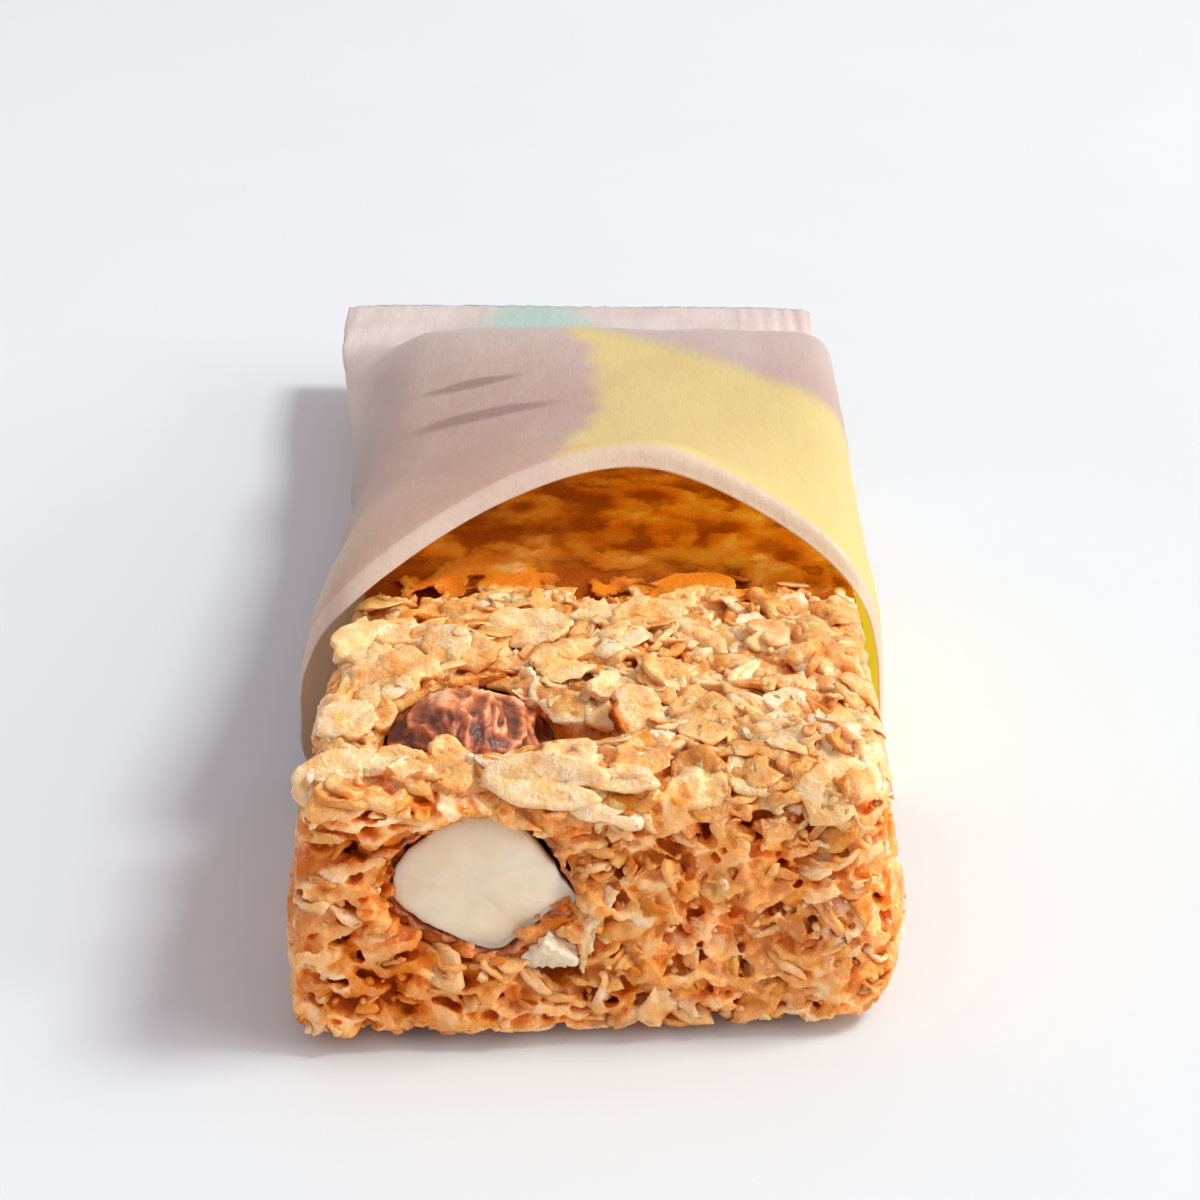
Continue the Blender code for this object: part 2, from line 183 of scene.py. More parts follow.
def blend_colours(tree, share, first, second, blend_type="MIX"):
    node = place(tree, "ShaderNodeMix", data_type="RGBA", blend_type=blend_type)
    for socket, value in ((node.inputs[0], share), (node.inputs[6], first), (node.inputs[7], second)):
        if isinstance(value, bpy.types.NodeSocket):
            tree.links.new(value, socket)
        elif socket is node.inputs[0]:
            socket.default_value = value
        else:
            socket.default_value = (*value, 1.0)
    return node.outputs[2]


def colour_ramp(tree, value, stops):
    """A gradient through named colours; stops is a list of (position, colour)."""
    node = place(tree, "ShaderNodeValToRGB", {"Fac": value})
    ramp = node.color_ramp
    while len(ramp.elements) < len(stops):
        ramp.elements.new(0.5)
    for element, (position, colour) in zip(ramp.elements, stops):
        element.position = position
        element.color = (*colour, 1.0)
    return node.outputs["Color"]


def attribute(tree, name, output="Fac"):
    return place(tree, "ShaderNodeAttribute", attribute_name=name).outputs[output]


def noise_texture(tree, vector, scale, detail=3.0, roughness=0.55, output="Fac", distortion=0.0):
    node = place(tree, "ShaderNodeTexNoise", {"Vector": vector, "Scale": scale, "Detail": detail,
                                              "Roughness": roughness, "Distortion": distortion})
    return node.outputs[output]


def new_group(name, inputs, outputs, kind="ShaderNodeTree"):
    """An empty node group with named sockets: (name, type, default) in, (name, type) out."""
    tree = bpy.data.node_groups.new(name, kind)
    for socket_name, socket_type, default in inputs:
        socket = tree.interface.new_socket(name=socket_name, in_out="INPUT", socket_type=socket_type)
        if default is not None:
            socket.default_value = default
    for socket_name, socket_type in outputs:
        tree.interface.new_socket(name=socket_name, in_out="OUTPUT", socket_type=socket_type)
    entrance = tree.nodes.new("NodeGroupInput")
    exit_node = tree.nodes.new("NodeGroupOutput")
    return tree, entrance.outputs, exit_node.inputs


def use_group(tree, group, inputs=None):
    node = place(tree, "ShaderNodeGroup", node_tree=group)
    for name, value in (inputs or {}).items():
        if isinstance(value, bpy.types.NodeSocket):
            tree.links.new(value, node.inputs[name])
        else:
            node.inputs[name].default_value = value
    return node.outputs


FLOAT, VECTOR, COLOUR = "NodeSocketFloat", "NodeSocketVector", "NodeSocketColor"

# %% [markdown]
# ## Shared finish: millimetre space, mottling and fine grain
# Every finish here is read in millimetres from the object's own coordinates. Two effects return
# in nearly all of them. Mottling is the slow change of tone in anything baked. Grain is the fine
# crumb of broken oat, which only a bump can carry at this size.

# %% Shared shader groups
def millimetre_group():
    tree, _, out = new_group("millimetre_space", [], [("Place", VECTOR)])
    coordinates = place(tree, "ShaderNodeTexCoord").outputs["Object"]
    tree.links.new(vector_math(tree, "SCALE", coordinates, scale=1000.0), out["Place"])
    return tree


def mottle_group():
    """0 to 1, changing slowly over the surface, with a little fine change inside."""
    tree, given, out = new_group("mottle", [("Place", VECTOR, None), ("Size", FLOAT, 3.0)],
                                 [("Tone", FLOAT)])
    scaled = vector_math(tree, "SCALE", given["Place"],
                         scale=calculate(tree, "DIVIDE", 1.0, given["Size"]))
    tone = noise_texture(tree, scaled, 1.0, detail=4.0, roughness=0.62)
    tree.links.new(remap(tree, tone, 0.3, 0.7), out["Tone"])
    return tree


def grain_group():
    """A normal roughened by crumb of two sizes."""
    tree, given, out = new_group(
        "crumb_grain", [("Place", VECTOR, None), ("Coarse", FLOAT, 0.35), ("Fine", FLOAT, 0.12),
                        ("Depth", FLOAT, 0.1)], [("Normal", VECTOR), ("Height", FLOAT)])
    coarse = noise_texture(tree, vector_math(tree, "SCALE", given["Place"], scale=calculate(
        tree, "DIVIDE", 1.0, given["Coarse"])), 1.0, detail=2.0, roughness=0.6)
    fine = noise_texture(tree, vector_math(tree, "SCALE", given["Place"], scale=calculate(
        tree, "DIVIDE", 1.0, given["Fine"])), 1.0, detail=1.0)
    height = calculate(tree, "MULTIPLY_ADD", fine, 0.35, coarse)
    bump = place(tree, "ShaderNodeBump", {"Height": height, "Strength": 1.0,
                                          "Distance": calculate(tree, "MULTIPLY", given["Depth"], 0.001)})
    tree.links.new(bump.outputs["Normal"], out["Normal"])
    tree.links.new(height, out["Height"])
    return tree


MILLIMETRES = millimetre_group()
MOTTLE = mottle_group()
GRAIN = grain_group()
print("shared groups:", [g.name for g in bpy.data.node_groups])


# %% Floor
def new_material(name):
    material = bpy.data.materials.new(name)
    material.use_nodes = True
    tree = material.node_tree
    return material, tree, tree.nodes["Principled BSDF"]


def set_shader(shader, **values):
    """Set a shader's own sockets; underscores stand for spaces in their names."""
    for name, value in values.items():
        shader.inputs[name.replace("_", " ")].default_value = value


floor_material, tree, shader = new_material("matt_white_board")
space = use_group(tree, MILLIMETRES)["Place"]
tone = use_group(tree, MOTTLE, {"Place": space, "Size": 160.0})["Tone"]
tree.links.new(blend_colours(tree, tone, (0.746, 0.766, 0.774), (0.766, 0.786, 0.794)),
               shader.inputs["Base Color"])
set_shader(shader, Roughness=0.75, Specular_IOR_Level=0.2)

floor_mesh = bpy.data.meshes.new("floor")
half = 4.0
floor_mesh.from_pydata([(-half, -half, 0), (half, -half, 0), (half, half, 0), (-half, half, 0)],
                       [], [(0, 1, 2, 3)])
floor_mesh.materials.append(floor_material)
floor = bpy.data.objects.new("floor", floor_mesh)
floor.location.z = -0.0002
scene.collection.objects.link(floor)

# %% [markdown]
# ## Making meshes in millimetres
# Three helpers carry every piece. One wraps a mesh in an object. One takes whatever modifiers did
# and keeps it as a plain mesh. One scales the finished piece to metres and hands it to the frame.

# %% Mesh helpers
def new_object(name, mesh, material=None):
    thing = bpy.data.objects.new(name, mesh)
    if material is not None:
        mesh.materials.clear()
        mesh.materials.append(material)
    scene.collection.objects.link(thing)
    return thing


def object_from_bmesh(name, bm, material=None, smooth=True):
    mesh = bpy.data.meshes.new(name)
    bm.to_mesh(mesh)
    bm.free()
    if smooth:
        mesh.shade_smooth()
    return new_object(name, mesh, material)


def keep_result(thing):
    """Replace an object's mesh by what its modifiers make of it, and drop the modifiers."""
    bpy.context.view_layer.update()
    evaluated = thing.evaluated_get(bpy.context.evaluated_depsgraph_get())
    result = bpy.data.meshes.new_from_object(evaluated)
    thing.modifiers.clear()
    thing.data = result
    return thing


def working_copy(node, name):
    """A solid's mesh in millimetres, its loose triangles joined."""
    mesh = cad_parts[node].data.copy()
    mesh.materials.clear()
    mesh.transform(Matrix.Scale(1000.0, 4))
    bm = bmesh.new()
    bm.from_mesh(mesh)
    bmesh.ops.remove_doubles(bm, verts=bm.verts, dist=0.002)
    bmesh.ops.recalc_face_normals(bm, faces=bm.faces)
    bm.to_mesh(mesh)
    bm.free()
    return new_object(name, mesh)


def positions(mesh):
    co = np.empty(len(mesh.vertices) * 3, np.float32)
    mesh.vertices.foreach_get("co", co)
    return co.reshape(-1, 3)


def normals(mesh):
    no = np.empty(len(mesh.vertices) * 3, np.float32)
    mesh.vertices.foreach_get("normal", no)
    return no.reshape(-1, 3)


def set_attribute(mesh, name, values):
    layer = mesh.attributes.get(name) or mesh.attributes.new(name, "FLOAT", "POINT")
    layer.data.foreach_set("value", np.asarray(values, np.float32))


finished = []


def finish(thing, *nodes, slot=None):
    """Scale to metres, let the piece ride on the body, and hide the solids it stands for."""
    thing.data.transform(Matrix.Scale(0.001, 4))
    thing.data.update()
    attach(thing, ROOT)
    if nodes:
        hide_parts(*nodes)
    finished.append(thing)
    triangles = sum(len(p.vertices) - 2 for p in thing.data.polygons)
    print(f"{thing.name}: {triangles} triangles")


# %% [markdown]
# ## The mould
# Flakes are thrown on and pressed, so they need a form to lie on and to be pressed against. The
# solid bar, resampled evenly and smoothed, is that mould. Each of its points carries three
# numbers: how thickly oats lie there, how far a flake may stand out past the mould, and whether
# the place is the broken face. The broken face and the top are rough. The sides were cut by a
# knife, and the underside lay on a belt, so nothing stands out there.

# %% Mould
def tree_of(node):
    thing = working_copy(node, "probe")
    bm = bmesh.new()
    bm.from_mesh(thing.data)
    tree = bvhtree.BVHTree.FromBMesh(bm)
    bm.free()
    bpy.data.objects.remove(thing)
    return tree


FIRST_LENGTH = 6.5       # the front of the bar, which is made in the finest detail
LEFT_EDGE, RIGHT_EDGE, TOP_EDGE = -19.0, 19.3, 17.0


def round_over(distance_in, radius):
    """How far a corner of this radius falls away, so near to the edge."""
    into = np.clip(radius - distance_in, 0.0, radius)
    return radius - np.sqrt(radius ** 2 - into ** 2)


def rounded(points):
    """The bar's long lower edges, its front's upright edges and the right half of the front's
    top edge are rounder than the solid's."""
    p = points.copy()
    inward = behind_front(p[:, 1])
    near_front = 1 - smooth_step(0.0, 9.0, inward)
    near_floor = 1 - smooth_step(0.0, 6.5, p[:, 2])
    for distance_in, low_radius, front_radius in ((RIGHT_EDGE - p[:, 0], 3.4, 4.2),
                                                  (p[:, 0] - LEFT_EDGE, 2.4, 1.8)):
        p[:, 2] += 0.85 * round_over(distance_in, low_radius) * near_floor
        p[:, 1] += 0.85 * round_over(distance_in, front_radius) * near_front
    p[:, 1] += 0.8 * round_over(p[:, 2], 1.8) * near_front
    right = smooth_step(-1.0, 6.0, p[:, 0])
    p[:, 1] += 0.8 * round_over(TOP_EDGE - p[:, 2], 3.6) * near_front * right
    return p


HOLLOW = np.array([-2.2, FRONT + 6.9, 17.0])


def hollow(points):
    """1 in the dark hollow beside the almond on top, 0 away from it."""
    return np.exp(-(((points - HOLLOW) / np.array([2.3, 2.9, 3.0])) ** 2).sum(axis=1))


NUT_TREES = [tree_of(node) for node in ("almond_front", "almond_top", "almond_chip")]


def distance_to_nuts(points):
    """From each point to the nearest almond or chip, in millimetres."""
    return np.array([min(tree.find_nearest(Vector(p))[3] for tree in NUT_TREES) for p in points])


BARE_LENGTH = 27.0       # the stretch of bar in front of the film
SEEN_LENGTH = 52.0       # how far one can look in under the film's arch
mould = working_copy("bar", "mould")
resample = mould.modifiers.new("even", "REMESH")
resample.mode = "VOXEL"
resample.voxel_size = 0.55
soften = mould.modifiers.new("soften", "SMOOTH")
soften.iterations = 6
keep_result(mould)
mould.data.shade_smooth()
mould.data.vertices.foreach_set("co", rounded(positions(mould.data)).astype(np.float32).ravel())
mould.data.update()

points = positions(mould.data)
facing = normals(mould.data)
depth_in = behind_front(points[:, 1] - 0.09 * points[:, 0])
near_nut = distance_to_nuts(points)
on_top = smooth_step(0.45, 0.8, facing[:, 2])
below = smooth_step(0.6, 0.9, -facing[:, 2])
broken = smooth_step(0.5, 0.8, -facing[:, 1]) * (depth_in < 6)
bare = 1 - smooth_step(BARE_LENGTH, BARE_LENGTH + 3, depth_in)
seen = 1 - smooth_step(SEEN_LENGTH - 4, SEEN_LENGTH, depth_in)
clear_of_nuts = smooth_step(0.25, 0.6, near_nut) * (1 - smooth_step(0.06, 0.3, hollow(points)))
first = 1 - (depth_in > FIRST_LENGTH)
top = on_top * clear_of_nuts
sides = (1 - on_top) * (1 - below) * (1 - broken) * clear_of_nuts
set_attribute(mould.data, "broken", broken * clear_of_nuts)
set_attribute(mould.data, "first_top", top * first)
set_attribute(mould.data, "first_sides", sides * first)
set_attribute(mould.data, "rest_top", top * bare * (1 - first))
set_attribute(mould.data, "rest_sides", sides * bare * (1 - first))
set_attribute(mould.data, "bare_top", top * bare)
set_attribute(mould.data, "bare_all", np.clip(top + sides + broken, 0, 1) * bare * clear_of_nuts)
set_attribute(mould.data, "shaded_top", top * seen * (1 - bare))
allow = 0.10 + bare * (0.45 * on_top + 0.30 * broken + 0.08)
set_attribute(mould.data, "allow", np.where(below > 0.5, 0.04, allow))
print("mould points:", len(points), "under oats:", int((bare > 0.5).sum()))

# %% [markdown]
# ## Rolled oats, broken oats and crumbs
# A rolled oat is a steamed kernel squashed between rollers: an oval two thirds of a millimetre
# thick, with a ragged, slightly split rim, a crease along one side and a lazy bend. A dozen
# different ones are enough, because the scatter bends and frays every copy in its own way later.
# Broken oats are the same thing with a rougher outline, and crumbs are small lumps.

# %% One oat
RINGS = {"plain": ((0.40, 1.0), (0.78, 0.96), (0.95, 0.80), (1.0, 0.1), (0.95, -0.7), (0.72, -0.95),
                   (0.38, -1.0)),
         "small": ((0.52, 1.0), (0.93, 0.80), (1.0, 0.05), (0.88, -0.8), (0.45, -1.0)),
         "fine": ((0.14, 1.0), (0.28, 1.0), (0.42, 1.0), (0.56, 1.0), (0.69, 0.98), (0.81, 0.95),
                  (0.91, 0.88), (0.97, 0.66), (1.0, 0.1), (0.96, -0.6), (0.82, -0.9),
                  (0.5, -1.0))}


def oat(name, length, width, thickness, seed, around=20, ragged=0.10, curl=0.22, rings="plain"):
    """A flake lying flat in XY. Each ring of points runs round it, from the top's middle over
    the rim to the underside's middle. The attribute rim is 0 in the middle and 1 at the edge."""
    rng = random.Random(seed)
    waves = [(k, rng.uniform(-1, 1) * ragged * s, rng.uniform(0, 6.28))
             for k, s in ((2, 0.9), (3, 1.0), (5, 0.6), (8, 0.4))]
    splits = [(rng.uniform(0, 6.28), rng.uniform(0.12, 0.32), rng.uniform(0.10, 0.22))
              for _ in range(rng.randint(0, 2))]
    bend, twist, dish = (rng.uniform(-1, 1) * curl for _ in range(3))
    turn = rng.uniform(0, 3.14)
    steps = RINGS[rings]
    verts, rims = [(0.0, 0.0, thickness / 2)], [0.0]
    for share, level in steps:
        for i in range(around):
            angle = 2 * math.pi * i / around
            radius = 1 + sum(a * math.cos(k * angle + p) for k, a, p in waves)
            for at, deep, wide in splits:
                gap = (angle - at + math.pi) % (2 * math.pi) - math.pi
                radius -= deep * math.exp(-(gap / wide) ** 2) * share ** 3
            radius += rng.uniform(-0.5, 0.5) * ragged * share ** 2
            verts.append((share * radius * length / 2 * math.cos(angle),
                          share * radius * width / 2 * math.sin(angle),
                          level * thickness / 2 * rng.uniform(0.75, 1.15)))
            rims.append(share ** 2)
    verts.append((0.0, 0.0, -thickness / 2))
    rims.append(0.0)
    shaped = []
    for x, y, z in verts:
        u, v = 2 * x / length, 2 * y / width
        across = u * math.cos(turn) + v * math.sin(turn)
        crease = -0.32 * thickness * math.exp(-(v / 0.16) ** 2) * (1 - min(abs(u), 1) ** 3)
        lift = length * (0.5 * bend * across ** 2 + 0.35 * twist * u * v
                         + 0.25 * dish * (u * u + v * v))
        shaped.append((x, y, z + lift + (crease if z > 0 else 0.4 * crease)))
    faces = []
    rings = len(steps)
    for i in range(around):
        j = (i + 1) % around
        faces.append((0, 1 + i, 1 + j))
        for r in range(rings - 1):
            a, b = 1 + r * around, 1 + (r + 1) * around
            faces.append((a + i, b + i, b + j, a + j))
        last = 1 + (rings - 1) * around
        faces.append((last + i, len(verts) - 1, last + j))
    mesh = bpy.data.meshes.new(name)
    mesh.from_pydata(shaped, [], faces)
    mesh.shade_smooth()
    set_attribute(mesh, "rim", rims)
    return mesh


def lump(name, size, seed, subdivisions=2, roughness=0.35):
    """A crumb: a ball knocked out of shape."""
    bm = bmesh.new()
    bmesh.ops.create_icosphere(bm, subdivisions=subdivisions, radius=size / 2)
    shift = Vector((seed * 3.7, seed * 1.3, seed * 5.1))
    rng = random.Random(seed)
    stretch = Vector((rng.uniform(0.8, 1.35), rng.uniform(0.7, 1.1), rng.uniform(0.55, 0.95)))
    for vert in bm.verts:
        rough = noise.noise(vert.co / size * 3.1 + shift) + 0.5 * noise.noise(
            vert.co / size * 7.0 - shift)
        vert.co = vert.co * (1 + roughness * 1.6 * rough) * stretch
    mesh = bpy.data.meshes.new(name)
    bm.to_mesh(mesh)
    bm.free()
    mesh.shade_smooth()
    set_attribute(mesh, "rim", [0.6] * len(mesh.vertices))
    return mesh


def pattern_collection(name, meshes):
    """The patterns that a scatter picks from. They are kept out of the scene."""
    collection = bpy.data.collections.new(name)
    for index, mesh in enumerate(meshes):
        collection.objects.link(bpy.data.objects.new(f"{name}_{index}", mesh))
    return collection


rng = random.Random(41)
whole_oats = pattern_collection("whole_oat", [
    oat(f"whole_oat_{i}", rng.uniform(5.6, 7.4), rng.uniform(4.2, 5.4), rng.uniform(0.65, 0.95),
        100 + i, around=24, ragged=0.12, curl=0.30) for i in range(14)])
broken_oats = pattern_collection("broken_oat", [
    oat(f"broken_oat_{i}", rng.uniform(3.4, 6.2), rng.uniform(2.0, 3.6), rng.uniform(0.6, 1.0),
        200 + i, around=18, ragged=0.22, curl=0.32) for i in range(16)])
chips = pattern_collection("chip", [
    oat(f"chip_{i}", rng.uniform(2.0, 4.0), rng.uniform(1.2, 2.4), rng.uniform(0.45, 0.8),
        350 + i, around=12, ragged=0.22, curl=0.30, rings="small") for i in range(18)])
shards = pattern_collection("shard", [
    oat(f"shard_{i}", rng.uniform(2.2, 4.6), rng.uniform(1.5, 2.8), rng.uniform(0.55, 0.95),
        250 + i, around=14, ragged=0.25, curl=0.30) for i in range(18)])
slivers = pattern_collection("sliver", [
    oat(f"sliver_{i}", rng.uniform(2.8, 4.6), rng.uniform(0.7, 1.3), rng.uniform(0.45, 0.75),
        300 + i, around=8, ragged=0.20, curl=0.2, rings="small") for i in range(8)])
crumbs = pattern_collection("crumb", [lump(f"crumb_{i}", rng.uniform(0.7, 1.3), 400 + i, 1)
                                      for i in range(8)])
puffs = pattern_collection("puff", [lump(f"puff_{i}", rng.uniform(1.6, 2.6), 500 + i, 3, 0.3)
                                    for i in range(8)])

# %% [markdown]
# ## The scatter
# One tree makes every kind of oat. Points are spread over the mould with a least distance
# between them, a flake is set on each, turned mostly flat as pressed flakes lie, and sunk to its
# own depth. The copies are made real, so that each can be frayed by a noise of its own and then
# pressed: what still stands out past the mould is squeezed back. Each flake keeps a tone, and
# each point its depth below the surface, which the finish reads later.

# %% Scatter tree
def random_value(tree, kind, low, high, seed, offset):
    node = place(tree, "FunctionNodeRandomValue", data_type=kind)
    low_socket, high_socket = {"FLOAT": (2, 3), "FLOAT_VECTOR": (0, 1)}[kind]
    for index, value in ((low_socket, low), (high_socket, high)):
        if isinstance(value, bpy.types.NodeSocket):
            tree.links.new(value, node.inputs[index])
        else:
            node.inputs[index].default_value = value
    tree.links.new(calculate(tree, "ADD", seed, offset), node.inputs["Seed"])
    return node.outputs[0 if kind == "FLOAT_VECTOR" else 1]


def named_value(tree, name, kind="FLOAT"):
    return place(tree, "GeometryNodeInputNamedAttribute", {"Name": name}, data_type=kind).outputs[0]


def store(tree, geometry, name, value, domain="POINT", kind="FLOAT"):
    node = place(tree, "GeometryNodeStoreNamedAttribute", {"Geometry": geometry, "Name": name,
                                                          "Value": value},
                 data_type=kind, domain=domain)
    return node.outputs["Geometry"]


def scatter_tree():
    inputs = [("Mould", "NodeSocketGeometry", None), ("Patterns", "NodeSocketCollection", None),
              ("Where", "NodeSocketString", "top"), ("Spacing", FLOAT, 2.0),
              ("Density", FLOAT, 0.2), ("Seed", "NodeSocketInt", 1),
              ("Smallest", FLOAT, 0.8), ("Largest", FLOAT, 1.2),
              ("Lie flat", FLOAT, 0.6), ("Disorder", FLOAT, 0.4),
              ("Shallowest", FLOAT, -0.3), ("Deepest", FLOAT, 1.6),
              ("Fray", FLOAT, 0.25), ("Press", FLOAT, 1.0), ("Soaked", FLOAT, 0.0),
              ("Left end", FLOAT, -99.0), ("Right end", FLOAT, 99.0),
              ("Finish", "NodeSocketMaterial", None)]
    tree, given, out = new_group("scatter_and_press", inputs, [("Oats", "NodeSocketGeometry")],
                                 kind="GeometryNodeTree")
    seed = given["Seed"]
    density = place(tree, "GeometryNodeInputNamedAttribute", {"Name": given["Where"]},
                    data_type="FLOAT").outputs[0]
    across = place(tree, "ShaderNodeSeparateXYZ", {
        "Vector": place(tree, "GeometryNodeInputPosition").outputs[0]}).outputs["X"]
    within = calculate(tree, "MULTIPLY",
                       calculate(tree, "GREATER_THAN", across, given["Left end"]),
                       calculate(tree, "LESS_THAN", across, given["Right end"]))
    density = calculate(tree, "MULTIPLY", density, within)
    spread = place(tree, "GeometryNodeDistributePointsOnFaces",
                   {"Mesh": given["Mould"], "Distance Min": given["Spacing"],
                    "Density Max": given["Density"], "Density Factor": density,
                    "Seed": seed}, distribute_method="POISSON")
    outward = spread.outputs["Normal"]
    # the way the flat side faces: between straight up and straight out, and a little astray
    astray = vector_math(tree, "SCALE", random_value(tree, "FLOAT_VECTOR", (-1, -1, -1), (1, 1, 1),
                                                     seed, 11), scale=given["Disorder"])
    flat = place(tree, "ShaderNodeMix", {0: given["Lie flat"]}, data_type="VECTOR")
    tree.links.new(outward, flat.inputs[4])
    flat.inputs[5].default_value = (0.0, 0.0, 1.0)
    faces = vector_math(tree, "NORMALIZE", vector_math(tree, "ADD", flat.outputs[1], astray))
    upright = place(tree, "FunctionNodeAlignRotationToVector", {"Vector": faces}, axis="Z")
    spin = place(tree, "FunctionNodeAxisAngleToRotation",
                 {"Axis": (0, 0, 1), "Angle": random_value(tree, "FLOAT", 0.0, 6.283, seed, 12)})
    turned = place(tree, "FunctionNodeRotateRotation",
                   {"Rotation": upright.outputs[0], "Rotate By": spin.outputs[0]},
                   rotation_space="LOCAL")
    sunk = random_value(tree, "FLOAT", given["Shallowest"], given["Deepest"], seed, 13)
    offset = vector_math(tree, "SCALE", outward, scale=calculate(tree, "MULTIPLY", sunk, -1.0))
    moved = place(tree, "GeometryNodeSetPosition", {"Geometry": spread.outputs["Points"],
                                                    "Offset": offset})
    patterns = place(tree, "GeometryNodeCollectionInfo",
                     {"Collection": given["Patterns"], "Separate Children": True,
                      "Reset Children": True})
    size = random_value(tree, "FLOAT", given["Smallest"], given["Largest"], seed, 14)
    copies = place(tree, "GeometryNodeInstanceOnPoints",
                   {"Points": moved.outputs[0], "Instance": patterns.outputs[0],
                    "Pick Instance": True, "Rotation": turned.outputs[0], "Scale": size})
    kept = store(tree, copies.outputs[0], "tone",
                 random_value(tree, "FLOAT", 0.0, 1.0, seed, 15), "INSTANCE")
    kept = store(tree, kept, "own_place",
                 random_value(tree, "FLOAT_VECTOR", (-90, -90, -90), (90, 90, 90), seed, 16),
                 "INSTANCE", "FLOAT_VECTOR")
    real = place(tree, "GeometryNodeRealizeInstances", {"Geometry": kept}).outputs[0]
    # fray: a noise in each flake's own place
    here = place(tree, "GeometryNodeInputPosition").outputs[0]
    own = vector_math(tree, "ADD", here, named_value(tree, "own_place", "FLOAT_VECTOR"))
    bends = noise_texture(tree, own, 0.55, detail=0.0, output="Color")
    frays = noise_texture(tree, own, 2.1, detail=1.0, output="Color")
    shift = vector_math(tree, "ADD",
                        vector_math(tree, "SCALE", vector_math(tree, "SUBTRACT", bends, (0.5,) * 3),
                                    scale=3.4),
                        vector_math(tree, "SCALE", vector_math(tree, "SUBTRACT", frays, (0.5,) * 3),
                                    scale=1.5))
    frayed = place(tree, "GeometryNodeSetPosition", {
        "Geometry": real, "Offset": vector_math(tree, "SCALE", shift, scale=given["Fray"])})
    # press: find the mould's nearest point and how far outside it this point is
    here = place(tree, "GeometryNodeInputPosition").outputs[0]
    near = place(tree, "GeometryNodeProximity", target_element="FACES")
    tree.links.new(given["Mould"], near.inputs[0])
    away = vector_math(tree, "SUBTRACT", here, near.outputs["Position"])
    mould_normal = place(tree, "GeometryNodeSampleNearestSurface", data_type="FLOAT_VECTOR")
    tree.links.new(given["Mould"], mould_normal.inputs["Mesh"])
    tree.links.new(place(tree, "GeometryNodeInputNormal").outputs[0], mould_normal.inputs["Value"])
    allowed = place(tree, "GeometryNodeSampleNearestSurface", data_type="FLOAT")
    tree.links.new(given["Mould"], allowed.inputs["Mesh"])
    tree.links.new(named_value(tree, "allow"), allowed.inputs["Value"])
    side = vector_math(tree, "DOT_PRODUCT", away, mould_normal.outputs["Value"])
    outside = calculate(tree, "MULTIPLY", calculate(tree, "SIGN", side), near.outputs["Distance"])
    over = calculate(tree, "MAXIMUM", calculate(tree, "SUBTRACT", outside, allowed.outputs["Value"]),
                     0.0)
    back = vector_math(tree, "SCALE", vector_math(tree, "NORMALIZE", away),
                       scale=calculate(tree, "MULTIPLY", calculate(
                           tree, "MULTIPLY", over, given["Press"]), -0.88))
    pressed = place(tree, "GeometryNodeSetPosition", {"Geometry": frayed.outputs[0],
                                                      "Offset": back})
    deep = store(tree, pressed.outputs[0], "depth", calculate(tree, "MULTIPLY", outside, -1.0))
    deep = store(tree, deep, "soaked", given["Soaked"])
    # the field above is read before the press, so a squeezed point counts as lying outside
    painted = place(tree, "GeometryNodeSetMaterial", {"Geometry": deep,
                                                      "Material": given["Finish"]})
    tree.links.new(painted.outputs[0], out["Oats"])
    return tree


SCATTER = scatter_tree()


def set_modifier(modifier, **values):
    """Set a tree's inputs by their sockets' identifiers."""
    for item in modifier.node_group.interface.items_tree:
        key = item.name.replace(" ", "_")
        if item.item_type == "SOCKET" and item.in_out == "INPUT" and key in values:
            modifier[item.identifier] = values.pop(key)
    if values:
        raise ValueError(f"no input named {sorted(values)}")


def add_nodes_modifier(thing, tree, **values):
    modifier = thing.modifiers.new(tree.name, "NODES")
    modifier.node_group = tree
    set_modifier(modifier, **values)


def scatter(name, collection, material, **sizes):
    """Spread one kind of oat over the mould and keep the result as a plain mesh."""
    thing = new_object(name, mould.data.copy())
    add_nodes_modifier(thing, SCATTER, Patterns=collection, Finish=material, **sizes)
    keep_result(thing)
    thing.data.name = name
    print(f"{name}: {len(thing.data.vertices)} points")
    return thing


# %% [markdown]
# ## Oat colour
# Toasted oat is pale cream where it stands out and dry, and turns to caramel where syrup has
# soaked in. The colour follows three things: how deep a point lies, the tone of its own flake,
# and a mottling. The deeper a point, the more the colour goes to syrup and dark syrup: partly
# real syrup, partly painted shade in the hollows. Painted shade also darkens the bar under the
# film's arch, the left of the broken face and the hollow beside the almond. Light enters oat and
# comes out again a little further on, which is what makes a bar glow, so the shader lets some
# through. The glaze is a clear coat that comes and goes.

# %% Oat finish
DRY_OATS = [(0.0, (0.74, 0.27, 0.045)), (0.22, (0.93, 0.45, 0.13)), (0.46, (0.98, 0.61, 0.25)),
            (0.7, (1.0, 0.735, 0.44)), (1.0, (1.0, 0.83, 0.69))]
MOIST_OATS = [(0.0, (0.68, 0.20, 0.018)), (0.22, (0.88, 0.345, 0.065)), (0.46, (0.96, 0.48, 0.14)),
              (0.7, (1.0, 0.63, 0.31)), (1.0, (1.0, 0.78, 0.58))]
# syrup colours, also used as painted shade in hollows and under the film; the darker one for the deepest
# painted shade
SYRUP_AND_SHADE = (0.80, 0.21, 0.010)
DARK_SYRUP_AND_SHADE = (0.38, 0.065, 0.002)


